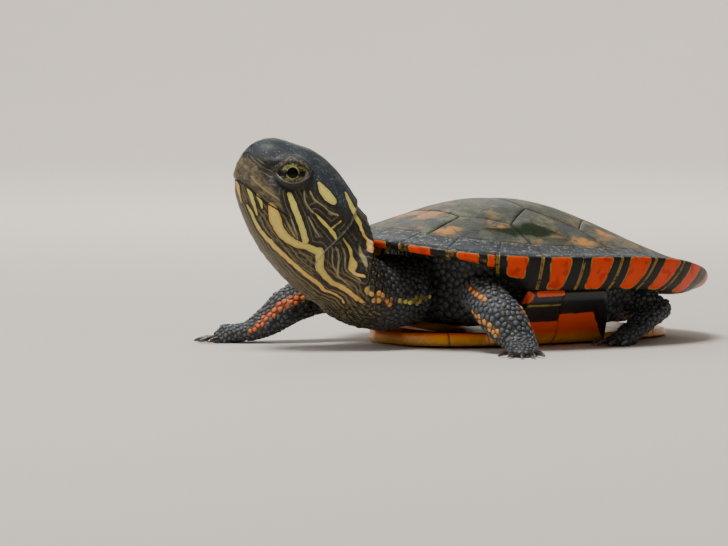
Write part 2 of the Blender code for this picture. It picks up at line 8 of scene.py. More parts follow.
import bmesh
import bpy
import numpy as np
from bpy.props import FloatProperty, FloatVectorProperty, IntProperty, PointerProperty
from mathutils import Matrix, Vector
from mathutils.bvhtree import BVHTree
from mathutils.kdtree import KDTree


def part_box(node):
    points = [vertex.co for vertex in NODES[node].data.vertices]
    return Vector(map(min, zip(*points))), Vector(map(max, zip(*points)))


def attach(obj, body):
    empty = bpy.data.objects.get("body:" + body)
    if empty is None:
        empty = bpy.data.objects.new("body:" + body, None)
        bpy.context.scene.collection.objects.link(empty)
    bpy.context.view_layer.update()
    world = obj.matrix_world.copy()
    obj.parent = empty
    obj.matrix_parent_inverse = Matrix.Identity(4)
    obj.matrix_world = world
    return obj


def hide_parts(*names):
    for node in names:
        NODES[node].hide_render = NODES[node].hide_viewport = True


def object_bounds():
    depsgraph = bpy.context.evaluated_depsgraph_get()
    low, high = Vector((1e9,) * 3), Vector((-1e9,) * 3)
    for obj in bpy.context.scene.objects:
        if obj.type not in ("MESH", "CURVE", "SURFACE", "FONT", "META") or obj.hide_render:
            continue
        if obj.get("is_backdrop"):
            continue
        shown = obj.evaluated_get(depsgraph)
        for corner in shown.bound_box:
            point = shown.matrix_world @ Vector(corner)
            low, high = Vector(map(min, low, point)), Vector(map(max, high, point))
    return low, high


bl_info = {
    "name": "Painted turtle",
    "version": (1, 0, 0),
    "blender": (4, 5, 0),
    "location": "View3D > Sidebar > Turtle",
    "description": "Dresses the solids of a young painted turtle in skin, scales, horn and markings",
    "category": "Object",
}

MM = 0.001
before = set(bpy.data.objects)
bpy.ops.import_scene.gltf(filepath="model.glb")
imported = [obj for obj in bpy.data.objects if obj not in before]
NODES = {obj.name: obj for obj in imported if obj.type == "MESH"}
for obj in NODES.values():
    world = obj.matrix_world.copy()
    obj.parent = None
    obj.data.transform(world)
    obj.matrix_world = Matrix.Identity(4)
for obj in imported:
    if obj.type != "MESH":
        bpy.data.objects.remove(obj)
CAD_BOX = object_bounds()
SIDES = (("left", 1), ("right", -1))

# Shell, as in the solids, in millimetres.
SHELL_LENGTH, SHELL_WIDTH = 56.0, 46.0
RIM_POWER = 2.3
REAR_WIDENING = 0.04
RIM_HEIGHTS = (12.7, -0.6, -1.4, -3.3)
DOME_RISE, DOME_FORWARD = 7.1, 3.9
DOME_SKIRT, DOME_SKIRT_REAR = 0.78, 0.36
RIM_THICKNESS = 0.9
MARGINAL_INNER = 0.826
MARGINAL_DROP, SIDE_DROP = 1.3, 3.0
SHELL_THICKNESS = 1.0
VERTEBRAL_SEAMS = (-14.6, -3.9, 6.8, 16.0)
VERTEBRAL_SEAM_HALF_WIDTHS = (6.4, 7.4, 7.0, 5.4)
VERTEBRAL_CORNERS = ((11.7, -9.7), (13.2, 1.1), (11.0, 11.6))
FRONT_CORNER_X, REAR_CORNER_X = 8.4, 8.8
PLEURAL_SEAM_ENDS = (-10.2, 1.8, 13.4)
NUCHAL_HALF_WIDTH = 2.1
MARGINAL_LENGTHS = (6.92,) * 3 + (6.3,) * 5 + (7.07,) * 4  # along the rim, from the nuchal scute to the tail

# Plastron, as in the solids.
PLASTRON_FRONT_Y, PLASTRON_REAR_Y = -22.4, 24.2
LOBE_HALF_WIDTH = 14.0
FLANK_X, FLANK_TOP = 19.2, 6.6
PLASTRON_THICKNESS, FRONT_LOBE_THICKER = 1.0, 0.7
FLAT_FRONT_Y, FRONT_RISE = -6.0, 0.3
BRIDGE_FRONT_Y, BRIDGE_FRONT_EASE = -11.5, 3.0
BRIDGE_REAR_Y, BRIDGE_REAR_EASE = 1.0, 4.5
PLASTRON_SEAMS = (-18.4, -13.2, -3.6, 7.6, 15.6)
BRIDGE_LEAN = -2.4
PLASTRON_SCUTES = ("gular", "humeral", "pectoral", "abdominal", "femoral", "anal")

# Head and neck. The head's own frame has -Y forward from the fold behind the ear and +Z up from the
# mouth line.
HEAD_PLACE = (
    Matrix.Translation((0.6, -30.6, 12.9))
    @ Matrix.Rotation(math.radians(-19), 4, "Z")
    @ Matrix.Rotation(math.radians(-35), 4, "X")
)
HEAD_LEVELS = (
    (0, -0.4), (2.2, -0.1), (4.6, 0.2), (7.2, 0.6), (9.6, 1.0), (11.8, 1.5), (13.7, 1.9), (15.4, 2.2),
    (16.9, 2.4), (18.1, 2.6), (18.9, 3.1),
)
NECK_STATIONS = (
    (1.0, -27.7, 17.0, -33.8, 6.2),
    (1.1, -28.8, 14.2, -31.0, 4.2),
    (0.9, -27.4, 12.9, -27.8, 2.8),
    (0.5, -24.4, 12.6, -24.3, 2.25),
    (0.0, -20.0, 12.6, -19.8, 2.65),
)
FLESH_GROWTH = 0.2  # far enough for the voxels of neighbouring solids to join
SOCKET_RADIUS = 2.8
HEAD_REACH = 13  # no part of the head or neck lies further from its middle than this
FAR = 9.0  # stands for any distance too great to matter
WELD = 0.001
FLESH = ("head", "lower_jaw", "neck", "trunk", "tail")
FLESH += tuple(f"{limb}_{side}" for limb in ("foreleg", "hindleg") for side, _ in SIDES)


# ---------------------------------------------------------------- settings


class TurtleSizes(bpy.types.PropertyGroup):
    """Sizes of the turtle's surfaces."""

    skin_voxel: FloatProperty(
        name="Skin detail", description="Size of the skin's mesh before its head is made finer",
        default=0.405 * MM, min=0.2 * MM, unit="LENGTH",
    )
    scale_depth: FloatProperty(
        name="Scale depth", description="How far the skin lies inside the solids, under its scales",
        default=0.1 * MM, min=0, unit="LENGTH",
    )
    seam_width: FloatProperty(
        name="Shell seam", description="Clear width between two shell plates",
        default=0.06 * MM, min=0, unit="LENGTH",
    )
    plate_detail: FloatProperty(
        name="Plate detail", description="Size of the mesh faces on the shell plates",
        default=0.25 * MM, min=0.1 * MM, unit="LENGTH",
    )
    ring_spacing: FloatProperty(
        name="Growth ring spacing", description="Distance between two growth rings on a shell plate",
        default=0.62 * MM, min=0.2 * MM, unit="LENGTH",
    )
    pupil_radius: FloatProperty(
        name="Pupil radius", description="Radius of the pupil on the eyeball",
        default=0.76 * MM, min=0.2 * MM, unit="LENGTH",
    )
    seed: IntProperty(name="Seed", description="Number that fixes where the scales fall", default=7)


def colour_setting(name, colour, description):
    return FloatVectorProperty(
        name=name, description=description, default=colour, size=3, min=0, max=1, subtype="COLOR"
    )


class TurtleColours(bpy.types.PropertyGroup):
    """Colours of the turtle's skin and horn."""

    flank: colour_setting("Skin", (0.013, 0.011, 0.009), "Dark brown skin between the stripes")
    # Partly painted sky reflection: the crown is dark skin, and its blue cast stands for the sky mirrored on
    # the wet top of the head.
    crown: colour_setting("Crown", (0.018, 0.024, 0.034), "Blue-black skin on top of the head")
    limb: colour_setting("Limbs", (0.080, 0.092, 0.108), "Slate skin of legs, neck base and tail")
    throat: colour_setting("Throat", (0.17, 0.115, 0.030), "Olive brown of the throat's fine lines")
    beak: colour_setting("Beak", (0.128, 0.100, 0.056), "Tan horn of the beak")
    stripe: colour_setting("Stripe", (0.56, 0.485, 0.105), "Yellow of the head's stripes")
    stripe_warm: colour_setting("Warm stripe", (0.62, 0.28, 0.055), "Orange end of the stripes' range")
    limb_stripe: colour_setting("Leg stripe", (0.62, 0.15, 0.045), "Red-orange of the stripes on the legs")
    carapace: colour_setting("Carapace", (0.030, 0.036, 0.021), "Olive horn of the back")
    carapace_dark: colour_setting("Dark horn", (0.014, 0.017, 0.016), "Dark horn along the seams")
    # Partly painted sky reflection: this blue-grey stands for the sky mirrored on the wet horn.
    patch: colour_setting("Carapace patch", (0.42, 0.17, 0.026), "Tan-orange patches on the back")
    slate: colour_setting("Rim top", (0.028, 0.037, 0.048), "Blue-grey tops of the marginal plates")
    bar: colour_setting("Red bar", (0.66, 0.042, 0.0), "Red bars on the marginal plates")
    ochre: colour_setting("Ochre line", (0.26, 0.16, 0.030), "Thin ochre lines at the marginal seams")
    black: colour_setting("Black horn", (0.010, 0.010, 0.010), "Black between the bars")
    plastron: colour_setting("Plastron", (0.84, 0.38, 0.008), "Yellow-orange horn of the belly")
    bridge: colour_setting("Bridge", (0.72, 0.068, 0.001), "Orange-red of the bridges")


def sizes():
    return bpy.context.scene.turtle_sizes


def colours():
    return bpy.context.scene.turtle_colours


# ---------------------------------------------------------------- numbers over a surface


def smoothstep(low, high, value):
    share = np.clip((value - low) / (high - low), 0, 1)
    return share * share * (3 - 2 * share)


def bump(value, width):
    """1 where value is 0, falling off evenly to both sides."""
    return np.exp(-((value / width) ** 2))


def lattice(cells, seed):
    """A repeatable random number from 0 to 1 for each whole-numbered cell."""
    mixed = cells[..., 0] * 73856093 ^ cells[..., 1] * 19349663 ^ cells[..., 2] * 83492791 ^ seed * 2654435761
    mixed = (mixed ^ (mixed >> 13)) * 1274126177 & 0x7FFFFFFF
    return ((mixed ^ (mixed >> 16)) & 0xFFFF) / 0xFFFF


def noise(points, size, seed=0):
    """Smooth noise from -1 to 1 that changes over about this size."""
    scaled = np.asarray(points, float) / size
    whole = np.floor(scaled).astype(np.int64)
    part = scaled - whole
    part = part * part * (3 - 2 * part)
    total = 0
    for corner in np.ndindex(2, 2, 2):
        weight = np.prod(np.where(corner, part, 1 - part), axis=-1)
        total = total + weight * lattice(whole + np.array(corner), seed)
    return 2 * total - 1


def to_segment(points, start, end):
    """Distance from each point to a straight piece, and the share of the way along it."""
    along = end - start
    share = np.clip(((points - start) @ along) / max(along @ along, 1e-12), 0, 1)
    return np.linalg.norm(points - start - share[:, None] * along, axis=1), share


def to_stripe(points, stripe):
    """Distance from each point to a stripe's edge, negative inside. A stripe is a row of points, each with
    the half width there."""
    stripe = np.array(stripe, float)
    best = np.full(len(points), 1e3)
    for start, end in zip(stripe, stripe[1:]):
        distance, share = to_segment(points, start[:-1], end[:-1])
        best = np.minimum(best, distance - start[-1] - share * (end[-1] - start[-1]))
    return best


def vectors(items, name):
    """One vector from each item of a mesh's list."""
    flat = np.empty(len(items) * 3, np.float32)
    items.foreach_get(name, flat)
    return flat.reshape(-1, 3).astype(float)


def coordinates(mesh):
    """The mesh's vertices in millimetres."""
    return vectors(mesh.vertices, "co") / MM


def move_to(mesh, points):
    mesh.vertices.foreach_set("co", (points * MM).astype(np.float32).ravel())
    mesh.update()


def normals(mesh):
    return vectors(mesh.vertex_normals, "vector")


def keep(mesh, name, values):
    """Stores one number for each vertex, for the materials to read."""
    data = mesh.attributes.new(name, "FLOAT", "POINT").data
    data.foreach_set("value", np.asarray(values, np.float32))


def read(mesh, name):
    values = np.empty(len(mesh.vertices), np.float32)
    mesh.attributes[name].data.foreach_get("value", values)
    return values.astype(float)


def point_tree(points):
    tree = KDTree(len(points))
    for i, point in enumerate(points):
        tree.insert(point, i)
    tree.balance()
    return tree


# ---------------------------------------------------------------- materials


class Wire:
    """A number, colour or direction in a material. Operators on it add the nodes that work it out."""

    def __init__(self, paint, socket):
        self.paint = paint
        self.socket = socket

    def __add__(self, other):
        return self.paint.maths("ADD", self, other)

    def __sub__(self, other):
        return self.paint.maths("SUBTRACT", self, other)

    def __rsub__(self, other):
        return self.paint.maths("SUBTRACT", other, self)

    def __mul__(self, other):
        return self.paint.maths("MULTIPLY", self, other)

    def most(self, other):
        return self.paint.maths("MAXIMUM", self, other)

    def sine(self):
        return self.paint.maths("SINE", self)

    def ease(self, low, high):
        """0 below low and 1 above high, or the other way round where low is the larger."""
        settings = {"interpolation_type": "SMOOTHSTEP"}
        inputs = {"Value": self, "From Min": low, "From Max": high}
        return self.paint.node("ShaderNodeMapRange", settings, inputs)


class Paint:
    """A material in the making, around one Principled BSDF."""

    def __init__(self, name, **constants):
        self.material = bpy.data.materials.new(name)
        self.material.use_nodes = True
        self.tree = self.material.node_tree
        self.shader = self.tree.nodes["Principled BSDF"]
        for socket, value in constants.items():
            self.shader.inputs[socket.replace("_", " ")].default_value = value
        self.place = self.node("ShaderNodeTexCoord", {}, {}, "Object")

    def node(self, kind, settings, inputs, output=0):
        """Adds a node, sets it, and gives values or links to its sockets. Gives one of its outputs."""
        made = self.tree.nodes.new(kind)
        for name, value in settings.items():
            setattr(made, name, value)
        for socket, value in inputs.items():
            if isinstance(value, Wire):
                self.tree.links.new(value.socket, made.inputs[socket])
            else:
                made.inputs[socket].default_value = value
        return Wire(self, made.outputs[output])

    def maths(self, operation, *values):
        return self.node("ShaderNodeMath", {"operation": operation}, dict(enumerate(values)))

    def attribute(self, name):
        return self.node("ShaderNodeAttribute", {"attribute_name": name}, {}, "Fac")

    def attributes(self, *names):
        return [self.attribute(name) for name in names]

    def stretched(self, scale):
        """Object coordinates scaled by a vector, for patterns that run one way."""
        return self.node("ShaderNodeMapping", {}, {"Vector": self.place, "Scale": scale})

    def cloud(self, size, detail=3.0, roughness=0.55, place=None):
        """Soft noise from 0 to 1 whose features are about this size in millimetres."""
        inputs = {"Vector": place or self.place, "Scale": 1 / (size * MM)}
        inputs |= {"Detail": detail, "Roughness": roughness}
        return self.node("ShaderNodeTexNoise", {}, inputs, "Fac")

    def pebbles(self, size):
        """Distance to the nearest of many scattered points, 0 at a pebble's middle."""
        inputs = {"Vector": self.place, "Scale": 1 / (size * MM)}
        return self.node("ShaderNodeTexVoronoi", {}, inputs, "Distance")

    def mix(self, first, second, share):
        """One colour laid over another."""
        first, second = (c if isinstance(c, Wire) else (*c, 1) for c in (first, second))
        return self.node("ShaderNodeMix", {"data_type": "RGBA"}, {0: share, 6: first, 7: second}, 2)

    def finish(self, colour, roughness=None, height=None, relief=0.05):
        """The material with these on its shader. The height runs from 0 to 1 over a relief in millimetres."""
        links = {"Base Color": colour, "Roughness": roughness}
        if height is not None:
            inputs = {"Height": height, "Distance": relief * MM, "Strength": 1.0}
            links["Normal"] = self.node("ShaderNodeBump", {}, inputs)
        for socket, wire in links.items():
            if isinstance(wire, Wire):
                self.tree.links.new(wire.socket, self.shader.inputs[socket])
        return self.material


# ---------------------------------------------------------------- pieces


def add_piece(mesh, name, material, replaces=()):
    """Puts a finished mesh in the scene as a piece that rides on the body."""
    mesh.materials.clear()
    mesh.materials.append(material)
    mesh.shade_smooth()
    piece = bpy.data.objects.new(name, mesh)
    bpy.context.scene.collection.objects.link(piece)
    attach(piece, "root")
    if replaces:
        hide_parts(*replaces)
    return piece


def mesh_from(bm, name):
    mesh = bpy.data.meshes.new(name)
    bm.to_mesh(mesh)
    bm.free()
    return mesh


def unit_grid(columns, rows):
    """A flat grid over the unit square, and each vertex's shares of the way across and up it."""
    bm = bmesh.new()
    unit = Matrix.Translation((0.5, 0.5, 0)) @ Matrix.Scale(0.5, 4)
    bmesh.ops.create_grid(bm, x_segments=columns, y_segments=rows, size=1, matrix=unit)
    return bm, np.array([vertex.co[:2] for vertex in bm.verts])


def closed_solid(bm, points, name):
    """The mesh of a grid bent to these points, with its ends closed and its faces out."""
    for vertex, point in zip(bm.verts, points):
        vertex.co = point * MM
    bmesh.ops.remove_doubles(bm, verts=bm.verts, dist=WELD * MM)
    bmesh.ops.holes_fill(bm, edges=[edge for edge in bm.edges if edge.is_boundary], sides=0)
    bmesh.ops.recalc_face_normals(bm, faces=bm.faces)
    return mesh_from(bm, name)


def applied(mesh, kind, **settings):
    """The mesh that a modifier makes of this one."""
    helper = bpy.data.objects.new("helper", mesh)
    bpy.context.scene.collection.objects.link(helper)
    modifier = helper.modifiers.new(kind.title(), kind)
    for name, value in settings.items():
        setattr(modifier, name, value)
    graph = bpy.context.evaluated_depsgraph_get()
    result = bpy.data.meshes.new_from_object(helper.evaluated_get(graph))
    bpy.data.objects.remove(helper)
    return result


# ---------------------------------------------------------------- shell forms


def rim_half_width(y):
    return SHELL_WIDTH / 2 * (1 + REAR_WIDENING * 2 * y / SHELL_LENGTH)


def share_out(x, y):
    """How far a plan position lies on its way from the shell's centre (0) to the rim (1)."""
    sideways = np.abs(x) / rim_half_width(y)
    lengthways = np.abs(y) / (SHELL_LENGTH / 2)
    return (sideways**RIM_POWER + lengthways**RIM_POWER) ** (1 / RIM_POWER)


def rim_plan(turn, share):
    """Plan position at a share of the way out, in a direction turned from the front towards the left."""
    direction = np.stack([np.sin(turn), -np.cos(turn)], axis=-1)
    reach = np.full(np.shape(turn), SHELL_LENGTH / 4)
    for _ in range(14):
        place = direction * reach[..., None]
        reach = reach * share / share_out(place[..., 0], place[..., 1])
    return direction * reach[..., None]


def rim_height(y):
    share = 2 * y / SHELL_LENGTH
    return sum(height * share**power for power, height in enumerate(RIM_HEIGHTS))


def carapace_height(x, y):
    """Height of the carapace's outer surface."""
    rearward = 2 * y / SHELL_LENGTH
    out = np.minimum(1, share_out(x, y)) ** 2
    skirt = DOME_SKIRT + DOME_SKIRT_REAR * rearward
    return rim_height(y) + (DOME_RISE - DOME_FORWARD * rearward) * (1 - out) * (1 - skirt * out)


def seam_points(start, end, count):
    """Points from one corner towards the next, along the marginals' seam where both corners lie on it."""
    if min(share_out(*start), share_out(*end)) < MARGINAL_INNER - 0.005:
        return [np.array(start) + (np.array(end) - start) * i / count for i in range(count)]
    first, last = (math.atan2(p[0], -p[1]) for p in (start, end))
    last += math.tau * round((first - last) / math.tau)
    turns = first + (last - first) * np.arange(count) / count
    return list(rim_plan(turns, MARGINAL_INNER))


def mirrored(points):
    return [(-x, y) for x, y in reversed(points)]


def carapace_outlines():
    """Corners of the five vertebral and eight pleural scutes, by node name."""
    ends = list(zip(VERTEBRAL_SEAM_HALF_WIDTHS, VERTEBRAL_SEAMS))
    corners = list(VERTEBRAL_CORNERS)
    inner = MARGINAL_INNER * SHELL_LENGTH / 2
    front = tuple(rim_plan(np.array(math.asin(FRONT_CORNER_X / inner)), MARGINAL_INNER))
    rear = tuple(rim_plan(np.array(math.pi - math.asin(REAR_CORNER_X / inner)), MARGINAL_INNER))
    lengthways = [abs(y) / (SHELL_LENGTH / 2) for y in PLEURAL_SEAM_ENDS]
    reach = [(MARGINAL_INNER**RIM_POWER - share**RIM_POWER) ** (1 / RIM_POWER) for share in lengthways]
    rim = [(rim_half_width(y) * share, y) for y, share in zip(PLEURAL_SEAM_ENDS, reach)]
    sides = [
        [front, ends[0]],
        [ends[0], corners[0], ends[1]],
        [ends[1], corners[1], ends[2]],
        [ends[2], corners[2], ends[3]],
        [ends[3], rear],
    ]
    outlines = {f"vertebral_scute_{i + 1}": side + mirrored(side) for i, side in enumerate(sides)}
    pleurals = [
        [ends[0], front, rim[0], corners[0]],
        [ends[1], corners[0], rim[0], rim[1], corners[1]],
        [ends[2], corners[1], rim[1], rim[2], corners[2]],
        [ends[3], corners[2], rim[2], rear],
    ]
    for i, outline in enumerate(pleurals):
        outlines[f"pleural_scute_left_{i + 1}"] = outline
        outlines[f"pleural_scute_right_{i + 1}"] = mirrored(outline)
    return outlines


def along_bridge(y):
    """1 beside the bridge, easing to 0 at the leg openings."""
    opened = smoothstep(BRIDGE_FRONT_Y - BRIDGE_FRONT_EASE, BRIDGE_FRONT_Y, y)
    return opened * (1 - smoothstep(BRIDGE_REAR_Y, BRIDGE_REAR_Y + BRIDGE_REAR_EASE, y))


def marginal_drop(y):
    """Depth of the marginal scutes from the rim to their lowest point."""
    deep = smoothstep(-0.76, -0.46, 2 * y / SHELL_LENGTH)
    shallow = smoothstep(0.5, 0.95, 2 * y / SHELL_LENGTH)
    return MARGINAL_DROP + SIDE_DROP * deep * (1 - 0.85 * shallow)


def lifted(plan, height):
    return np.concatenate([plan, np.reshape(height, (-1, 1))], axis=1)


def marginal_section(turn):
    """Corner points of the marginals' section in each direction, over the top, round the rim and back."""
    inner = MARGINAL_INNER + (sizes().seam_width / MM) / SHELL_WIDTH
    plans = [rim_plan(turn, share) for share in (inner, 0.91, 0.98)]
    section = [lifted(plan, carapace_height(*plan.T)) for plan in plans]
    rim = rim_plan(turn, 1)
    top = carapace_height(*rim.T)
    drop = marginal_drop(rim[:, 1])
    section.append(lifted(rim, top - RIM_THICKNESS * 0.45))
    for share, fall in ((0.985, 0.4), (0.945, 0.92), (0.9, 1.0)):
        section.append(lifted(rim_plan(turn, share), top - RIM_THICKNESS - (drop - RIM_THICKNESS) * fall))
    section.append(section[0] - [0, 0, SHELL_THICKNESS])
    return np.stack(section, axis=1)


def along_curve(corners, part):
    """Points on a smooth curve through each row's corners, at a part of the way counted in corners."""
    last = corners.shape[1] - 1
    first = np.clip(np.floor(part).astype(int), 0, last - 1)
    rows = np.arange(len(part))
    before, start, end, after = (
        corners[rows, np.clip(first + step, 0, last)] for step in (-1, 0, 1, 2)
    )
    s = (part - first)[:, None]
    return 0.5 * (
        2 * start
        + (end - before) * s
        + (2 * before - 5 * start + 4 * end - after) * s**2
        + (3 * start - before - 3 * end + after) * s**3
    )


def lobe_half_width(y):
    reach = np.minimum(1, y / np.where(y > 0, PLASTRON_REAR_Y, PLASTRON_FRONT_Y))
    return LOBE_HALF_WIDTH * (1 - reach**3.2) ** 0.5


def plastron_half_width(y):
    lobe = lobe_half_width(y)
    return lobe + (FLANK_X - lobe) * along_bridge(y)


def plastron_underside(x, y):
    """Height of the plastron's outer face: flat on the ground, rising ahead, outwards and up the bridges."""
    forward = np.maximum(0, FLAT_FRONT_Y - y) / (FLAT_FRONT_Y - PLASTRON_FRONT_Y)
    edge = np.maximum(0, np.abs(x) - 0.62 * lobe_half_width(y)) / (0.38 * LOBE_HALF_WIDTH)
    up_flank = np.maximum(0, np.abs(x) - 0.93 * LOBE_HALF_WIDTH) / (FLANK_X - 0.93 * LOBE_HALF_WIDTH)
    flank = along_bridge(y) * FLANK_TOP * np.minimum(1, up_flank) ** 1.25
    return FRONT_RISE * forward**1.5 + 0.5 * np.minimum(1.4, edge) ** 2 + flank


def plastron_thickness(y):
    return PLASTRON_THICKNESS + FRONT_LOBE_THICKER * (1 - smoothstep(PLASTRON_SEAMS[0], FLAT_FRONT_Y, y))


# ---------------------------------------------------------------- carapace


def horn_relief(edge):
    """Height of a plate's surface above the solid's, from the distance to its edge."""
    return 0.1 * smoothstep(0.2, 3.5, edge) - 0.2 * np.exp(-edge / 0.16)


def scute_mesh(corners):
    """A plate of the carapace: a fine grid cut to its outline, laid on the dome and thickened."""
    outline = []
    for start, end in zip(corners, corners[1:] + corners[:1]):
        rim_side = min(share_out(*start), share_out(*end)) > MARGINAL_INNER - 0.005
        outline += seam_points(start, end, 12 if rim_side else 1)
    outline = np.array(outline)
    low, high = outline.min(axis=0), outline.max(axis=0)
    span, middle = high - low, (low + high) / 2
    cells = np.ceil(span / (sizes().plate_detail / MM)).astype(int)
    bm = bmesh.new()
    fit = Matrix.Translation((*middle, 0)) @ Matrix.Diagonal((*(span / 2), 1, 1))
    bmesh.ops.create_grid(bm, x_segments=cells[0], y_segments=cells[1], size=1, matrix=fit)
    centre = outline.mean(axis=0)
    inset = sizes().seam_width / MM / 2
    sides = []
    for start, end in zip(outline, np.roll(outline, -1, axis=0)):
        outward = np.array([end[1] - start[1], start[0] - end[0]])
        outward /= np.linalg.norm(outward)
        if outward @ (centre - start) > 0:
            outward = -outward
        sides.append((start - outward * inset, outward))
    for place, outward in sides:
        for depth in (0, 0.08, 0.18, 0.32):
            bmesh.ops.bisect_plane(
                bm,
                geom=bm.verts[:] + bm.edges[:] + bm.faces[:],
                dist=0.002,
                plane_co=(*(place - outward * depth), 0),
                plane_no=(*outward, 0),
                clear_outer=depth == 0,
            )
    raised = bmesh.ops.extrude_face_region(bm, geom=bm.faces[:])["geom"]
    top = [each for each in raised if isinstance(each, bmesh.types.BMVert)]
    for vertex in top:
        vertex.co.z = 1
    mesh = mesh_from(bm, "scute")
    points = vectors(mesh.vertices, "co")
    edge = np.min([(place - points[:, :2]) @ outward for place, outward in sides], axis=0)
    upper = points[:, 2] > 0.5
    points[:, 2] = carapace_height(points[:, 0], points[:, 1])
    points[:, 2] += np.where(upper, horn_relief(edge), -0.95 * SHELL_THICKNESS)
    move_to(mesh, points)
    return mesh, points, edge


def closed_out(mesh):
    """The same mesh with its faces pointing out."""
    bm = bmesh.new()
    bm.from_mesh(mesh)
    bmesh.ops.recalc_face_normals(bm, faces=bm.faces)
    bm.to_mesh(mesh)
    bm.free()
    return mesh


PATCHES = ((2.3, -16.5, 1.5), (9.4, -18.9, 1.0), (12.1, -12.2, 0.8), (17.3, -1.3, 1.0), (13.6, 5.1, 0.9))
GREEN_BLOTCH = ((12.2, -13.6, 0.5), (13.8, -10.6, 1.1), (13.9, -7.4, 1.7), (14.8, -4.8, 0.6))
DARK_STREAK = ((7.4, -3.8, 0.25), (11.6, -1.3, 0.4), (13.5, 1.0, 0.2))


def carapace_marks(mesh, points, edge):
    """Where the back carries its patches, blotch and streak, on both sides alike, as numbers from 0 to 1."""
    plan = np.abs(points[:, :2]) * [1, 0] + points[:, :2] * [0, 1]
    wobble = noise(points, 1.3, 3) + 0.5 * noise(points, 0.5, 4)
    patch = np.min([np.linalg.norm((plan - p[:2]) * [1, 0.8], axis=1) - p[2] for p in PATCHES], axis=0)
    keep(mesh, "edge", edge)
    keep(mesh, "patch", 1 - smoothstep(-0.5, 0.9, patch + 0.5 * wobble))
    keep(mesh, "blotch", 1 - smoothstep(-0.5, 0.7, to_stripe(plan, GREEN_BLOTCH) + 0.5 * wobble))
    keep(mesh, "streak", 1 - smoothstep(-0.2, 0.3, to_stripe(plan, DARK_STREAK) + 0.2 * wobble))


def horn_grain(paint):
    """Height of the fine grain on the rim and the belly."""
    return paint.cloud(0.35, 4) * 0.5 + paint.cloud(1.6) * 0.6


def horn_bump(paint, edge):
    """Growth rings round a plate and the fine grain of worn horn."""
    spacing = sizes().ring_spacing / MM
    warp = paint.cloud(1.6, 4) * (2.2 * spacing)
    phase = (edge + warp) * (math.tau / spacing)
    rings = phase.sine() * 0.5 + 0.5
    return rings * 0.12 + paint.cloud(0.35, 4) * 0.5 + paint.cloud(1.4, 4) * 0.8


WORN_HORN, PALE_HORN, DEEP_HORN = (0.105, 0.104, 0.056), (0.25, 0.235, 0.160), (0.012, 0.015, 0.012)
TAN_HORN, GREEN_HORN = (0.24, 0.12, 0.032), (0.005, 0.013, 0.001)


def carapace_material():
    paint = Paint("Carapace horn", Coat_Weight=0.04, Coat_Roughness=0.3, Specular_IOR_Level=0.16)
    tone = colours()
    edge, patch, blotch, streak = paint.attributes("edge", "patch", "blotch", "streak")
    streaks = paint.cloud(0.5, 5, 0.7, paint.stretched((2.0, 0.6, 1)))
    worn, spots = paint.cloud(3.2, 5, 0.65), paint.cloud(1.1, 5, 0.7)
    base = paint.mix(tone.carapace, WORN_HORN, worn.ease(0.46, 0.6) * 0.85)
    # Blue-grey patches of painted sky reflection on the wet horn.
    base = paint.mix(base, tone.slate, paint.cloud(6.0, 2).ease(0.48, 0.62) * 0.6)
    base = paint.mix(base, PALE_HORN, streaks.ease(0.54, 0.70) * worn.ease(0.4, 0.6) * 0.75)
    base = paint.mix(base, DEEP_HORN, spots.ease(0.47, 0.36) * 0.8)
    tan = paint.cloud(4.5, 4).ease(0.55, 0.66) * spots.ease(0.4, 0.6) * 0.7
    base = paint.mix(base, TAN_HORN, tan)
    base = paint.mix(base, tone.patch, patch * spots.ease(0.35, 0.52) * 0.9)
    base = paint.mix(base, GREEN_HORN, blotch)
    base = paint.mix(base, tone.carapace_dark, streak * 0.8)
    base = paint.mix(base, tone.carapace_dark, (edge + paint.cloud(0.8) * 0.6).ease(0.6, 0.2) * 0.7)
    rough = paint.cloud(0.8, 4) * 0.4 + blotch * 0.3 + 0.34
    return paint.finish(base, rough, horn_bump(paint, edge), 0.07)


# ---------------------------------------------------------------- marginals


def rim_arc():
    """A table of turns and of arc lengths along the rim, measured from the middle of the nuchal scute."""
    turns = np.linspace(0, math.pi, 721)
    plan = rim_plan(turns, 1)
    steps = np.linalg.norm(np.diff(plan, axis=0), axis=1)
    return turns, np.concatenate([[0], np.cumsum(steps)])


def marginal_seams():
    return NUCHAL_HALF_WIDTH + np.concatenate([[0], np.cumsum(MARGINAL_LENGTHS)])


# How far the marginal seams lean backwards going down, against the arc length.
RIM_SLANT = ((0, 0), (22, 0.08), (29, 0.15), (36, 0.2), (42, 0.28), (48, 0.5), (55, 0.65), (66, 0.5), (80, 0))


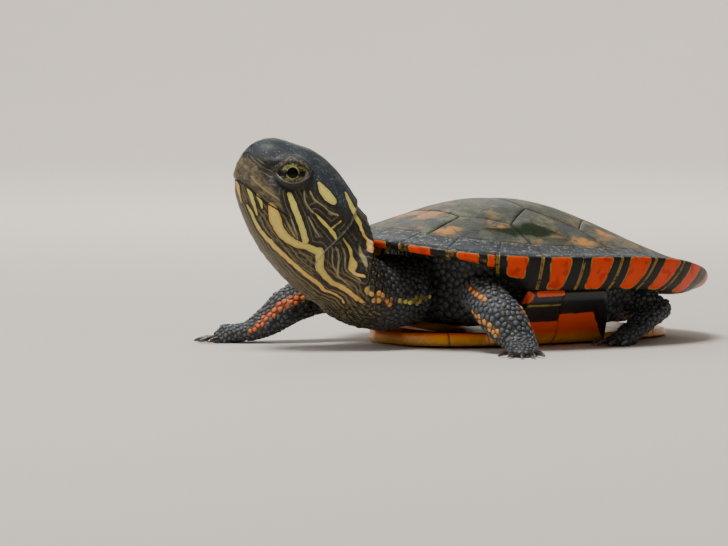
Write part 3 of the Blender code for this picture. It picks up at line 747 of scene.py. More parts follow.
def rim_mesh(arcs, sign, across=56):
    """A stretch of the rim's horn between the first and last of these arc lengths, with its own coordinates:
    the arc length, and the distance down over the rim's edge."""
    bm, shares = unit_grid(len(arcs) - 1, across)
    arc = np.interp(shares[:, 0] * (len(arcs) - 1), np.arange(len(arcs)), arcs)
    turns, lengths = rim_arc()
    section = marginal_section(np.interp(np.abs(arc), lengths, turns) * np.sign(arc) * sign)
    section = np.concatenate([section, section[:, :1]], axis=1)
    # Corners 0 to 7 are the outer surface, and the last stretch is the wall against the plates of the back.
    stops = np.array([0, 0.16, 0.3, 0.42, 0.56, 0.74, 0.84, 0.96, 1])
    part = np.interp(shares[:, 1], stops, np.arange(9))
    curved = along_curve(section[:, :8], np.minimum(part, 7))
    wall = (part - 7)[:, None]
    points = np.where(wall > 0, section[:, 7] * (1 - wall) + section[:, 8] * wall, curved)
    gaps = np.linalg.norm(np.diff(section[:, :8], axis=1), axis=2)
    reach = np.concatenate([np.zeros((len(gaps), 1)), np.cumsum(gaps, axis=1)], axis=1)
    rows = np.arange(len(part))
    first = np.clip(np.floor(part).astype(int), 0, 6)
    down = reach[rows, first] + (np.minimum(part, 7) - first) * gaps[rows, first] - reach[:, 3]
    slanted = np.abs(arc) + profile(RIM_SLANT, np.abs(arc)) * np.clip(down, 0, 4.5)
    layers = [bm.verts.layers.float.new(name) for name in ("arc", "down", "drop")]
    for vertex, values in zip(bm.verts, np.stack([slanted, down, reach[:, 6] - reach[:, 3]], axis=1)):
        for layer, value in zip(layers, values):
            vertex[layer] = value
    return closed_solid(bm, points, "rim")


def rim_arcs(first, last):
    """Arc lengths for the rim's loops."""
    return np.linspace(first, last, round((last - first) / 0.15))


def carve_rim(mesh, grooves):
    """Presses the seams into the rim's horn."""
    points = coordinates(mesh)
    arc = read(mesh, "arc")
    seam = np.abs(arc[:, None] - grooves).min(axis=1) if len(grooves) else np.full(len(arc), 9.0)
    depth = 0.12 * bump(seam, 0.13)
    move_to(mesh, points - normals(mesh) * depth[:, None])
    return points


# From the front: share of the scute's length where each red bar starts and ends.
BARS = {0: (0.22, 0.66), 1: (0.2, 0.65), 2: (0.2, 0.62), 3: (0.2, 0.65), 4: (0.2, 0.68), 5: (0.2, 0.75)}
BARS |= {6: (0.25, 0.85), 7: (0.3, 0.85), 8: (0.3, 0.75), 9: (0.3, 0.75), 10: (0.3, 0.75), 11: (0.3, 0.75)}


def marginal_marks(mesh, points):
    """Distances for the rim's markings: red bars, seams and how far down a place lies."""
    arc, down, drop = (read(mesh, name) for name in ("arc", "down", "drop"))
    seams = marginal_seams()
    plate = np.clip(np.searchsorted(seams, arc) - 1, 0, len(MARGINAL_LENGTHS) - 1)
    length = np.array(MARGINAL_LENGTHS)[plate]
    wobble = 0.12 * noise(points, 0.9, 11) + 0.06 * noise(points, 0.35, 12)
    start, end = np.array([BARS[i] for i in range(len(BARS))])[plate].T
    along = arc - seams[plate]
    middle, half = (start + end) / 2 * length, (end - start) / 2 * length
    low, high = -0.35, np.where(plate == 3, 2.6, np.maximum(drop - 0.75, 1.4))
    sideways = np.abs(along - middle) - half * (1 - 0.05 * np.maximum(down, 0))
    upright = np.abs(down - (low + high) / 2) - (high - low) / 2
    corner = 0.5
    outside = np.hypot(np.maximum(sideways + corner, 0), np.maximum(upright + corner, 0))
    bar = np.minimum(np.maximum(sideways, upright) + corner, 0) + outside - corner
    small = np.maximum(np.abs(along - 0.87 * length) - 0.42, np.abs(down - 0.6) - 0.9) + 9.0 * (plate != 2)
    keep(mesh, "bar", np.minimum(bar, small) + wobble)
    keep(mesh, "ahead", 1 - smoothstep(20, 24, arc))
    keep(mesh, "seam", np.abs(arc[:, None] - seams).min(axis=1))
    keep(mesh, "under", down - drop)


# The blue-grey of the marginals' tops is partly painted sky reflection on the wet horn.
RIM_TOPS_SKY_SHEEN, RIM_FLECK = ((0.019, 0.027, 0.036), (0.010, 0.013, 0.015)), (0.24, 0.25, 0.21)
RIM_SEAM, RIM_BROWN, RIM_YELLOW = (0.012, 0.020, 0.034), (0.20, 0.10, 0.018), (0.34, 0.27, 0.05)
BAR_BRIGHT, BAR_DEEP = (0.62, 0.12, 0.0), (0.30, 0.014, 0.0)


def marginal_material():
    paint = Paint("Marginal horn", Coat_Weight=0.04, Coat_Roughness=0.25, Specular_IOR_Level=0.16)
    tone = colours()
    bar, seam, down, under = paint.attributes("bar", "seam", "down", "under")
    fine = paint.cloud(0.5, 4)
    shade = paint.cloud(1.8, 4, 0.6).ease(0.44, 0.58) * 0.85
    # Tops of the marginals: dark horn with a blue-grey cast that is painted sky reflection.
    top = paint.mix(*RIM_TOPS_SKY_SHEEN, shade)
    top = paint.mix(top, RIM_FLECK, paint.cloud(0.7, 5, 0.75).ease(0.53, 0.64) * 0.75)
    top = paint.mix(top, RIM_SEAM, (seam + fine * 0.5).ease(0.5, 0.25) * 0.6)
    line = (seam + fine * 0.1).ease(0.34, 0.24) * (seam + fine * 0.08).ease(0.07, 0.13)
    side = paint.mix(tone.black, tone.ochre, line * paint.cloud(0.8, 3).ease(0.32, 0.5))
    patches = paint.cloud(1.3, 4).ease(0.50, 0.62) * paint.attribute("ahead") * bar.ease(0.15, 0.5)
    side = paint.mix(side, RIM_BROWN, patches * 0.8)
    over = (down + fine * 0.3).ease(-0.55, -0.1)
    base = paint.mix(top, side, over)
    red = paint.mix(tone.bar, BAR_BRIGHT, fine.ease(0.5, 0.8) * 0.4)
    red = paint.mix(red, BAR_DEEP, paint.cloud(1.4, 4).ease(0.52, 0.66) * 0.6)
    rim = bar.ease(0.2, 0.1) * paint.cloud(1.2, 3).ease(0.35, 0.55)
    base = paint.mix(base, RIM_YELLOW, rim * over * 0.8)
    base = paint.mix(base, red, bar.ease(0.06, -0.06) * over.most(bar.ease(0, -0.2)))
    belly = paint.mix(tone.plastron, tone.black, (seam + paint.cloud(1.5) * 1.2).ease(1.3, 0.9))
    base = paint.mix(base, belly, under.ease(0.2, 0.7))
    rough = paint.cloud(0.8, 4) * 0.25 + (1 - over) * 0.2 + 0.25
    return paint.finish(base, rough, horn_grain(paint), 0.04)


# ---------------------------------------------------------------- plastron


def bridge_lean(x):
    """How far the seams shift forwards on their way up the bridge."""
    return BRIDGE_LEAN * smoothstep(0.93 * LOBE_HALF_WIDTH, FLANK_X, np.abs(x))


def plastron_mesh(front, rear, across=64):
    """One pair of the plastron's scutes, as a closed sheet round its own thickness."""
    along = max(6, round((rear - front) / 0.28))
    wall = 4
    around = 2 * (across + wall)
    bm, shares = unit_grid(along, around)
    lengthways = front + (rear - front) * shares[:, 0]
    step = shares[:, 1] * around
    # Round the section: along the underside, up the edge, back over the inside and down the other edge.
    stops = (0, across, across + wall, 2 * across + wall, around)
    sideways = np.interp(step, stops, (-1, 1, 1, -1, -1))
    up = np.interp(step, stops, (0, 0, 1, 1, 0))
    y = lengthways + bridge_lean(sideways * plastron_half_width(lengthways))
    half = plastron_half_width(y)
    rounding = np.sin(math.pi * up) * 0.12
    x = sideways * half
    under = plastron_underside(x, y)
    edge = np.minimum(np.minimum(lengthways - front, rear - lengthways), half - np.abs(x))
    relief = 0.12 * np.exp(-np.maximum(edge, 0) / 0.14) + 0.1 * bump(x, 0.12)
    z = under + plastron_thickness(y) * up + np.where(up == 0, relief, 0)
    x = x * (1 - 0.5 * up / np.maximum(half, 1)) + np.sign(x) * rounding
    return closed_solid(bm, np.stack([x, y, z], axis=1), "plastron")


BELLY_ORANGE, BELLY_SEAM = (0.62, 0.17, 0.01), (0.30, 0.13, 0.03)
BRIDGE_SLATE, BRIDGE_LINE = (0.036, 0.044, 0.054), (0.30, 0.22, 0.04)


def plastron_material():
    paint = Paint("Plastron horn", Coat_Weight=0.2, Coat_Roughness=0.25, Specular_IOR_Level=0.35)
    tone = colours()
    level, edge, line, dark = paint.attributes("level", "edge", "line", "dark")
    fine = paint.cloud(0.6, 4)
    base = paint.mix(tone.plastron, BELLY_ORANGE, paint.cloud(5, 3).ease(0.45, 0.7) * 0.4)
    base = paint.mix(base, BELLY_SEAM, (edge + fine * 0.4).ease(0.45, 0.15) * 0.7)
    base = paint.mix(base, tone.bridge, (level + fine * 0.5).ease(1.2, 2.6))
    slate = (level - 6.9).ease(-0.5, -0.2) * (level - 6.9).ease(0.3, 0.1)
    black = paint.mix(tone.black, BRIDGE_SLATE, slate)
    # Black bands along the bridge, and behind its coloured plate a painted shadow of the hollow before the
    # hind leg.
    base = paint.mix(base, black, (dark + fine * 0.12).ease(0.1, -0.02))
    base = paint.mix(base, BRIDGE_LINE, (line + fine * 0.05).ease(0.08, -0.02))
    rough = paint.cloud(0.8, 4) * 0.25 + 0.25
    return paint.finish(base, rough, horn_grain(paint), 0.04)


def plastron_marks(mesh, front, rear):
    """Distances for the bridge's pattern: dark bands along it and a thin yellow line between them, with black
    behind the coloured plate's rear edge as a painted shadow of the hollow before the hind leg.
    """
    points = coordinates(mesh)
    y, z = points[:, 1], points[:, 2]
    side = np.abs(points[:, 0])
    wobble = 0.12 * noise(points, 1.1, 21) + 0.06 * noise(points, 0.4, 22)
    flat_y = y - bridge_lean(points[:, 0])
    edge = np.minimum(np.minimum(flat_y - front, rear - flat_y), plastron_half_width(y) - side)
    behind = flat_y > PLASTRON_SEAMS[2]
    lower = np.where(behind, 4.7, 3.7)
    # Behind this slanted edge the bridge is painted black: a painted shadow of the hollow before the hind
    # leg.
    shadow_edge = 3.0 - 0.8 * (z - 2)
    dark = np.minimum(lower - z, np.where(z > 0.6, shadow_edge - y, 9))
    bar = np.maximum(np.abs(z - 7.75) - 0.38, np.maximum(-10.9 - y, y - np.where(behind, -9, -5.9)))
    blob = np.hypot(y + 12.1, z - 7.3) - 0.85
    red = np.minimum(bar, blob)
    line = np.maximum(np.abs(z - 6.15) - 0.2, np.maximum(-11.8 - y, np.where(behind, 1, y + 5)))
    keep(mesh, "edge", edge)
    keep(mesh, "level", z)
    keep(mesh, "dark", np.maximum(np.maximum(dark, -red) + wobble, 14.6 - side))
    keep(mesh, "line", np.maximum(line + 0.4 * wobble, 13.6 - side))


# ---------------------------------------------------------------- skin


def head_frames():
    """Planes across the head and neck, from the snout back: centre, directions up and sideways, and place."""
    turned = np.array(HEAD_PLACE.to_3x3())
    move = np.array(HEAD_PLACE.translation)
    planes = []
    for forward, level in reversed(HEAD_LEVELS):
        centre = turned @ [0, -forward, level] + move
        planes.append((centre, turned @ [0, 0, 1], turned @ [1, 0, 0], forward))
    along, last = 0, planes[-1][0]
    for x, back_y, back_z, throat_y, throat_z in NECK_STATIONS:
        over, below = np.array([x, back_y, back_z]), np.array([x, throat_y, throat_z])
        centre, up = (over + below) / 2, (over - below) / np.linalg.norm(over - below)
        along -= np.linalg.norm(centre - last)
        planes.append((centre, up, np.array([1.0, 0, 0]), along))
        last = centre
    return planes


def spine_place(points):
    """Place along the head and neck, in millimetres forward of the fold behind the ear and negative down the
    neck, then angle round them (90 on top, 0 at either side) and distance from the middle."""
    planes = head_frames()
    ahead = np.array([(points - c) @ np.cross(s, u) for c, u, s, _ in planes])
    place, angle, reach = (np.full(len(points), value) for value in (planes[-1][3] - 1, 0.0, 99.0))
    done = np.zeros(len(points), bool)
    for i, (near, far) in enumerate(zip(planes, planes[1:])):
        within = ~done & ((ahead[i] <= 0) | (i == 0)) & (ahead[i + 1] > 0)
        share = np.clip(ahead[i] / (ahead[i] - ahead[i + 1] + 1e-9), -0.5, 1)[within, None]
        centre, up, side = (near[j] + (far[j] - near[j]) * share for j in range(3))
        offset = points[within] - centre
        rise = np.einsum("ij,ij->i", offset, up)
        sideways = np.einsum("ij,ij->i", offset, side)
        place[within] = near[3] + (far[3] - near[3]) * share[:, 0]
        angle[within] = np.degrees(np.arctan2(rise, np.abs(sideways)))
        reach[within] = np.hypot(rise, sideways)
        done |= within
    return place, angle, reach


def in_head(points):
    """Places in the head's own frame."""
    turned = np.array(HEAD_PLACE.to_3x3())
    return (points - np.array(HEAD_PLACE.translation)) @ turned


def eye_middles():
    return [np.array(sum(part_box(f"eye_{side}"), Vector()) / 2) / MM for side, _ in SIDES]


def welded(node):
    """A copy of one solid's mesh with its faces joined up and facing out."""
    bm = bmesh.new()
    bm.from_mesh(node.data)
    bmesh.ops.remove_doubles(bm, verts=bm.verts, dist=WELD * MM)
    bmesh.ops.recalc_face_normals(bm, faces=bm.faces)
    bm.normal_update()
    return bm


def flesh_copy():
    """The solids of flesh grown enough to close the gaps between them, with the eye sockets filled."""
    bm = bmesh.new()
    for node in FLESH:
        part = welded(NODES[node])
        moves = [vertex.normal * FLESH_GROWTH * MM for vertex in part.verts]
        for vertex, move in zip(part.verts, moves):
            vertex.co += move
        mesh = mesh_from(part, node)
        bm.from_mesh(mesh)
        bpy.data.meshes.remove(mesh)
    for middle in eye_middles():
        ball = Matrix.Translation(middle * MM)
        bmesh.ops.create_uvsphere(bm, u_segments=48, v_segments=32, radius=SOCKET_RADIUS * MM, matrix=ball)
    return mesh_from(bm, "flesh")


def refine(mesh, near):
    """Halves the edges between the vertices that this picks out."""
    bm = bmesh.new()
    bm.from_mesh(mesh)
    picked = near(coordinates(mesh))
    edges = [edge for edge in bm.edges if all(picked[vertex.index] for vertex in edge.verts)]
    bmesh.ops.subdivide_edges(bm, edges=edges, cuts=1, use_grid_fill=True, smooth=0.0)
    bmesh.ops.triangulate(bm, faces=[face for face in bm.faces if len(face.verts) > 4])
    return mesh_from(bm, mesh.name)


def edge_ends(mesh):
    ends = np.empty(len(mesh.edges) * 2, np.int32)
    mesh.edges.foreach_get("vertices", ends)
    return ends.reshape(-1, 2)


def neighbour_mean(values, ends):
    """For each vertex, the mean of its neighbours' values."""
    count = np.bincount(ends.ravel(), minlength=len(values))
    sums = []
    for column in values.T:
        sums.append(
            np.bincount(ends[:, 0], column[ends[:, 1]], len(values))
            + np.bincount(ends[:, 1], column[ends[:, 0]], len(values))
        )
    return np.stack(sums, axis=1) / np.maximum(count, 1)[:, None]


def evened(mesh, rounds, near=None):
    """Smooths the mesh, or what this picks out of it, without shrinking it: each round moves the vertices in,
    and then a little further out again."""
    points, ends = coordinates(mesh), edge_ends(mesh)
    free = np.ones(len(points)) if near is None else near(points).astype(float)
    for _ in range(rounds):
        for share in (0.5, -0.52):
            points += (neighbour_mean(points, ends) - points) * share * free[:, None]
    move_to(mesh, points)
    return mesh


def near_head(points):
    place, _, reach = spine_place(points)
    return (place > -5.5) & (reach < 14)


def near_eyes(points):
    return np.min([np.linalg.norm(points - middle, axis=1) for middle in eye_middles()], axis=0) < 4.4


# Lids. Each eye has its own sphere coordinates: along the slit backwards, and up across it.
GAZE = np.array([0.938, -0.322, -0.124])
SLIT = np.array([0.0, 0.854, 0.521])
EYE_RADIUS = 2.5
SLIT_HALF_LENGTH, SLIT_HALF_HEIGHT = 2.5, 1.32
ORBIT_HALF_LENGTH, ORBIT_HALF_HEIGHT = 3.4, 2.5


def eye_coordinates(points, middle, side):
    """Distances on the eyeball from the middle of the gaze: back along the slit, up across it, out from the
    centre and ahead along the gaze."""
    gaze, slit = GAZE / np.linalg.norm(GAZE), SLIT.copy()
    slit -= gaze * (slit @ gaze)
    slit /= np.linalg.norm(slit)
    up = np.cross(gaze, slit)
    up *= np.sign(up[2])
    offset = (in_head(points) - in_head(middle[None])) * [side, 1, 1]
    depth = offset @ gaze
    along = EYE_RADIUS * np.arctan2(offset @ slit, depth)
    above = EYE_RADIUS * np.arctan2(offset @ up, np.abs(depth))
    return along, above, np.linalg.norm(offset, axis=1), depth


def lid_distance(along, above):
    """Distance from the opening between the lids, negative inside it."""
    along, above = along - 0.05, above - 0.06
    share = np.hypot(along / SLIT_HALF_LENGTH, above / SLIT_HALF_HEIGHT)
    slope = np.hypot(along / SLIT_HALF_LENGTH**2, above / SLIT_HALF_HEIGHT**2) / np.maximum(share, 1e-6)
    return (share - 1) / np.maximum(slope, 1e-6) * (share > 1e-3) - 1.3 * (share <= 1e-3)


def orbit_share(along, above):
    """1 on the edge of the lids' field round the eye, less inside it."""
    return np.hypot((along + 0.1) / ORBIT_HALF_LENGTH, (above - 0.12) / ORBIT_HALF_HEIGHT)


def lower_share(along, above):
    """1 on the lower lid, 0 on the upper one."""
    return smoothstep(-0.4, 0.4, -above - 0.1 + 0.6 * smoothstep(1.2, 2.6, np.abs(along)))


def shape_lids(points):
    """Carves the lids, the slit between them and the groove round them into the skin over both eyes."""
    moved = points.copy()
    for middle, (_, side) in zip(eye_middles(), SIDES):
        along, above, reach, depth = eye_coordinates(points, middle, side)
        opening, field = lid_distance(along, above), orbit_share(along, above)
        upper = np.interp(opening, (-0.12, 0.10, 0.25, 0.6, 1.2), (2.05, 2.70, 2.82, 2.86, 2.90))
        steps = (-0.12, 0.10, 0.3, 0.5, 0.75, 0.95, 1.3)
        lower = np.interp(opening, steps, (2.05, 2.68, 2.74, 2.95, 2.92, 2.72, 2.88))
        below = lower_share(along, above)
        lid = upper * (1 - below) + lower * below
        lid = lid + 0.03 * np.sin(opening * math.tau / 0.42) * (opening > 0.3) * (1 - below)
        facing = (depth > 0) * (reach < 4.6)
        weight = (1 - smoothstep(0.82, 1.2, field)) * facing * smoothstep(0.1, 1.3, depth)
        target = lid * weight + reach * (1 - weight)
        brow = smoothstep(-1.8, 0.5, above)
        target += (0.1 * bump(field - 1.22, 0.14) - 0.14 * bump(field - 1.02, 0.06)) * facing * brow
        near, factor = (reach < 5.2)[:, None], (target / np.maximum(reach, 1e-6))[:, None]
        moved = np.where(near, middle + (points - middle) * factor, moved)
    return moved


# Levels in the head's own frame, against the distance forward.
MOUTH_LINE = ((19.4, 0.15), (18.06, 0.05), (17.0, 0.0), (15.4, -0.34), (13.75, -0.52), (11.25, -0.4),
              (9.9, -0.5))
BEAK_RIDGE = ((19.3, 2.2), (18.6, 1.9), (17.87, 1.75), (16.3, 1.03), (14.68, 0.83), (12.63, 0.77),
              (11.6, 0.5))
BEAK_TOP = ((19.4, 3.4), (18.4, 3.6), (17.6, 3.5), (16.6, 2.7), (15.3, 2.2), (13.4, 1.7), (11.55, 0.35),
            (10.6, -0.3))
NOSTRIL = (0.62, -19.1, 5.0)
# Place of the fold behind the head, against the angle round it.
HEAD_FOLD = ((-90, 3.5), (-40, 3.5), (-11, 3.48), (1, 3.14), (18, 2.72), (34, 2.43), (44, 2.58), (90, 2.7))
EAR_PLACE, EAR_ANGLE, EAR_RADIUS = 5.0, 22, 1.45


def profile(line, at):
    line = np.array(sorted(line))
    return np.interp(at, line[:, 0], line[:, 1])


def head_push(points, place, angle, reach):
    """How far outwards the mouth, beak, nostrils, ear and the folds of the neck move the skin."""
    local = in_head(points)
    forward, level = -local[:, 1], local[:, 2]
    mouth = level - profile(MOUTH_LINE, forward)
    front = smoothstep(9.6, 11.0, forward)
    push = front * (0.10 * bump(mouth - 0.42, 0.3) - 0.07 * bump(mouth + 0.5, 0.4) - 0.24 * bump(mouth, 0.13))
    push += 0.07 * bump(level - profile(BEAK_RIDGE, forward), 0.2) * smoothstep(11.6, 12.6, forward)
    nostril = np.linalg.norm(local * [0, 1, 1] + np.abs(local) * [1, 0, 0] - NOSTRIL, axis=1)
    push += 0.05 * bump(nostril - 0.42, 0.15) - 0.34 * bump(nostril, 0.24)
    push += 0.12 * noise(points, 3.2, 35) * smoothstep(45, 70, angle) * front
    ear = np.hypot(place - EAR_PLACE, np.radians(angle - EAR_ANGLE) * reach)
    push -= 0.06 * bump(ear - EAR_RADIUS, 0.25) + 0.03 * (1 - smoothstep(1.0, 1.5, ear))
    behind = profile(HEAD_FOLD, angle) - place
    strength = smoothstep(-60, -10, angle)
    push -= 0.28 * smoothstep(-0.1, 0.45, behind) * (1 - smoothstep(0.9, 3.8, behind)) * strength
    push += 0.06 * bump(behind + 0.22, 0.22) * strength
    return push + neck_push(points, place, angle)


def neck_push(points, place, angle):
    """Rings of loose skin round the neck, with finer pleats along it."""
    neck = 1 - smoothstep(0.8, 2.8, place)
    warp = noise(points, 2.6, 31)
    fine = np.sin((place + 0.5 * warp + 0.25 * noise(points, 0.9, 32)) * math.tau / 1.05)
    deep = np.abs(np.sin((place * (1 - 0.05 * place) + 0.7 * warp) * math.pi / 2.3 + 0.9)) - 0.6
    pleats = np.sin(np.radians(angle) * 7.0 * math.tau / 0.95 + 1.2 * warp)
    patchy = 0.6 + 0.4 * noise(points, 3, 33)
    throat = smoothstep(-30, -60, angle) * smoothstep(-4, 0, place) * (1 - smoothstep(9, 14, place))
    gular = np.sin((place + 0.4 * warp) * math.tau / 1.5) * 0.03
    return neck * (0.06 * fine * patchy + 0.16 * deep + 0.03 * pleats) + throat * gular


def body_push(points):
    """Loose folds where the neck, legs and tail leave the shell, over a soft unevenness of the skin."""
    warp = noise(points, 3.0, 41)
    soft = 0.10 * noise(points, 1.5, 42) + 0.05 * noise(points, 0.7, 43)
    socket = share_out(points[:, 0], points[:, 1])
    folds = np.sin((socket * 16 + 0.8 * warp) * math.tau / 1.9)
    near_shell = smoothstep(0.45, 0.6, socket) * (1 - smoothstep(0.86, 1.0, socket))
    high = smoothstep(4.0, 6.5, points[:, 2])
    return (soft + 0.12 * folds * near_shell * high) * smoothstep(0.4, 2.5, points[:, 2])


def skin_mesh():
    """One closed skin over all the flesh, finer on the head and finest round the eyes."""
    voxels = {"mode": "VOXEL", "voxel_size": sizes().skin_voxel, "use_smooth_shade": True}
    shell = applied(flesh_copy(), "REMESH", **voxels)
    shell = evened(shell, 18)
    shell = evened(shell, 24, near=near_head)
    shell = refine(shell, near_head)
    shell = evened(shell, 4)
    shell = refine(shell, near_eyes)
    shell = evened(shell, 3, near=near_eyes)
    points, out = coordinates(shell), normals(shell)
    place, angle, reach = spine_place(points)
    on_head = smoothstep(1, 4, place) * (reach < 14)
    coat = sizes().scale_depth / MM
    head = np.where(reach < 13, smoothstep(-6.5, -5, place), 0)
    push = head_push(points, place, angle, reach) * head + body_push(points) * (1 - head)
    points += out * (push - FLESH_GROWTH - coat * (1 - 0.6 * on_head))[:, None]
    points = shape_lids(points)
    points[:, 2] = np.maximum(points[:, 2], 0.01)
    move_to(shell, points)
    return shell


# Stripes: place along the head and neck, angle round them and half width at each point, then the warmth at
# the first and the last, from yellow (0) to orange (1).
STRIPES = (
    (((9.3, 43, 0.2), (8.45, 39.8, 0.6), (7.45, 38.1, 0.68), (6.4, 37.6, 0.5)), 0.1, 0.0),
    (((11.8, 7, 0.35), (10.75, 0, 0.46), (9.55, -5.7, 0.44), (8.4, -11.8, 0.46), (6.8, -20.4, 0.5)), 0, 0),
    (((12.8, -26.3, 0.6), (11.6, -33, 0.85), (10.2, -36.9, 0.7), (8.75, -36.2, 0.55),
      (7.3, -32, 0.45)), 0.6, 0.15),
    (((7.3, -32, 0.45), (5.6, -23.6, 0.42), (4, -19.1, 0.55)), 0.25, 0),
    (((4.3, -18.9, 0.55), (4.1, -19.6, 0.62), (3.45, -26.6, 0.62), (2.75, -34, 0.55),
      (1.4, -37.1, 0.42)), 0, 0.2),
    (((1.4, -37.1, 0.42), (-0.3, -37.7, 0.32), (-1, -38.7, 0.3), (-2.1, -33.7, 0.28),
      (-3.3, -27.2, 0.22)), 0.2, 0.8),
    (((15.2, -62.4, 0.2), (14.1, -61.2, 0.3), (12.7, -62.7, 0.33), (10.8, -60.1, 0.38),
      (9.9, -57.1, 0.38)), 0, 0.2),
    (((9.9, -57.1, 0.38), (6.95, -53.1, 0.35), (4.2, -50.8, 0.3), (1.45, -50.3, 0.28),
      (-1.5, -52.6, 0.14)), 0.2, 0.5),
    (((17.8, -82, 0.3), (17.3, -74, 0.38), (16.6, -73.5, 0.3), (15.8, -75, 0.1)), 0.6, 0.1),
    (((16.5, -46, 0.18), (16, -45, 0.27), (14.95, -48, 0.25), (13.6, -53, 0.12)), 0, 0),
    (((15.2, -35.4, 0.16), (14.4, -36.2, 0.2), (13.7, -40, 0.08)), 0, 0),
    (((7.6, 11.7, 0.1), (6.4, 10.4, 0.24), (5.2, 10.1, 0.26), (4.1, 8.9, 0.25), (3.4, 6.9, 0.2)), 0, 0),
    (((4.65, 12.5, 0.15), (4.35, 20.3, 0.13), (4.1, 26.4, 0.1)), 0, 0),
    (((5.3, 57, 0.2), (4, 51.6, 0.5), (2.9, 48.6, 0.56), (1.6, 48, 0.48), (0.75, 42.3, 0.3)), 0, 0.1),
    (((0.75, 42.3, 0.26), (-0.35, 37.3, 0.2), (-0.7, 34.4, 0.24), (-0.88, 27.6, 0.3),
      (-1, 21.3, 0.3)), 0.1, 0.9),
    (((2.5, 14.1, 0.1), (1.5, 12.9, 0.2), (0.6, 9.3, 0.22), (-0.2, 0, 0.25), (-0.44, -11.8, 0.2)), 0.1, 0.2),
    (((-0.44, -11.8, 0.2), (-0.8, -14.3, 0.18), (-1.6, -9, 0.12)), 0.2, 0.3),
)
# Fainter lines, of the same form, without warmth.
FINE_LINES = (
    ((10.46, 23.9, 0.07), (9.75, 15.4, 0.08), (8.64, 11.4, 0.08), (7.6, 11.2, 0.1)),
    ((9.78, 28.5, 0.06), (8.73, 24.2, 0.07), (7.37, 24.9, 0.07), (5.79, 25.7, 0.08), (4.89, 29.2, 0.08)),
    ((2.7, -1.1, 0.06), (1.91, -4, 0.1), (1.24, -11.4, 0.1), (0.37, -23.6, 0.1), (-0.3, -28.8, 0.07)),
    ((2.88, -5.8, 0.05), (2, -16.7, 0.07), (1.28, -22, 0.07), (0.34, -25.1, 0.06), (-0.78, -31.2, 0.05)),
    ((1.9, 4.8, 0.05), (1.07, 0.6, 0.08), (0, -11.4, 0.09), (-0.39, -16.9, 0.08), (-1.24, -18.5, 0.06)),
    ((-0.17, 21.9, 0.06), (-0.51, 13.8, 0.1), (-0.78, 7.4, 0.1), (-1.06, 0, 0.07)),
    ((8.21, 2.5, 0.06), (7.47, -0.3, 0.09), (6.4, -4, 0.09), (5.5, -5.6, 0.06)),
    ((10.3, -14, 0.05), (9.0, -19.5, 0.07), (7.6, -26.5, 0.05)),
    ((9.9, -23, 0.05), (8.7, -26, 0.07), (7.3, -29, 0.04)),
)


def eased(stripe, steps=5):
    """The same stripe with points between its own, on a smooth curve."""
    corners = np.array(stripe, float)[None]
    part = np.linspace(0, len(stripe) - 1, (len(stripe) - 1) * steps + 1)
    return along_curve(np.repeat(corners, len(part), axis=0), part)


def to_head_stripe(stripe, place, angle, reach):
    """Distance to a stripe's edge over the head's surface, negative inside, and how far along it that is."""
    nearest, way = np.full(len(place), FAR), np.zeros(len(place))
    curve = eased(stripe)
    turn = np.radians(angle) * reach
    for i, (start, end) in enumerate(zip(curve, curve[1:])):
        span_u, span_v = end[0] - start[0], np.radians(end[1] - start[1]) * reach
        off_u, off_v = place - start[0], turn - np.radians(start[1]) * reach
        share = np.clip((off_u * span_u + off_v * span_v) / (span_u**2 + span_v**2), 0, 1)
        distance = np.hypot(off_u - share * span_u, off_v - share * span_v)
        distance -= start[2] + share * (end[2] - start[2])
        closer = distance < nearest
        nearest = np.where(closer, distance, nearest)
        way = np.where(closer, (i + share) / (len(curve) - 1), way)
    return nearest, way


# Stripes and spots on the legs and the neck's base: x, y, z and half width at each point, then how yellow
# it is, from red-orange (0) to yellow (1).
LIMB_STRIPES = (
    (((12, -17.8, 8.6, 0.1), (14, -18.6, 8.8, 0.12), (16, -19.1, 8.5, 0.2), (18, -19.4, 7.6, 0.42)), 0.2),
    (((15.5, -19.5, 6.2, 0.2), (17, -19.8, 5.2, 0.3), (19.5, -19.7, 4, 0.3), (21, -18.9, 2.7, 0.25)), 0.35),
    (((20.3, -14.6, 6.6, 0.3), (22.2, -14.2, 4.6, 0.3), (23.8, -14.8, 2.6, 0.2)), 0.3),
    (((-9.9, -29.8, 6.4, 0.5), (-11.4, -32.5, 5.3, 0.6), (-12.4, -33.9, 4, 0.5), (-12.6, -34.8, 2.9, 0.45),
      (-13.3, -36.2, 1.8, 0.3)), 0.0),
    (((-14.2, -24.5, 8.2, 0.4), (-15.2, -28.5, 7, 0.4), (-16.6, -31.5, 4.6, 0.35),
      (-18, -34, 2.4, 0.25)), 0.1),
    (((7.6, -30.7, 8.4, 0.42), (7.6, -30.5, 8.1, 0.42)), 0.8),
    (((7.8, -29.0, 7.5, 0.6), (7.8, -29.2, 7.2, 0.55)), 0.45),
    (((7.9, -27.8, 6.8, 0.45), (7.9, -27.5, 6.5, 0.45)), 0.3),
    (((7.6, -25.5, 6.6, 0.2), (7.6, -23.5, 6.7, 0.25), (7.6, -21, 6.9, 0.25), (7.6, -19.5, 7, 0.2)), 1.0),
    (((-7.7, -28.6, 7.4, 0.4), (-7.7, -27.6, 6.8, 0.3)), 0.6),
    (((13.8, 13.6, 8.2, 0.35), (16.4, 13.9, 6.6, 0.3), (17.8, 14.6, 5.2, 0.25)), 0.1),
    (((-12.6, 19.2, 6.6, 0.35), (-17.2, 20.2, 5.6, 0.35), (-20, 22.6, 4.4, 0.3), (-21.6, 25, 2.6, 0.2)), 0.1),
)


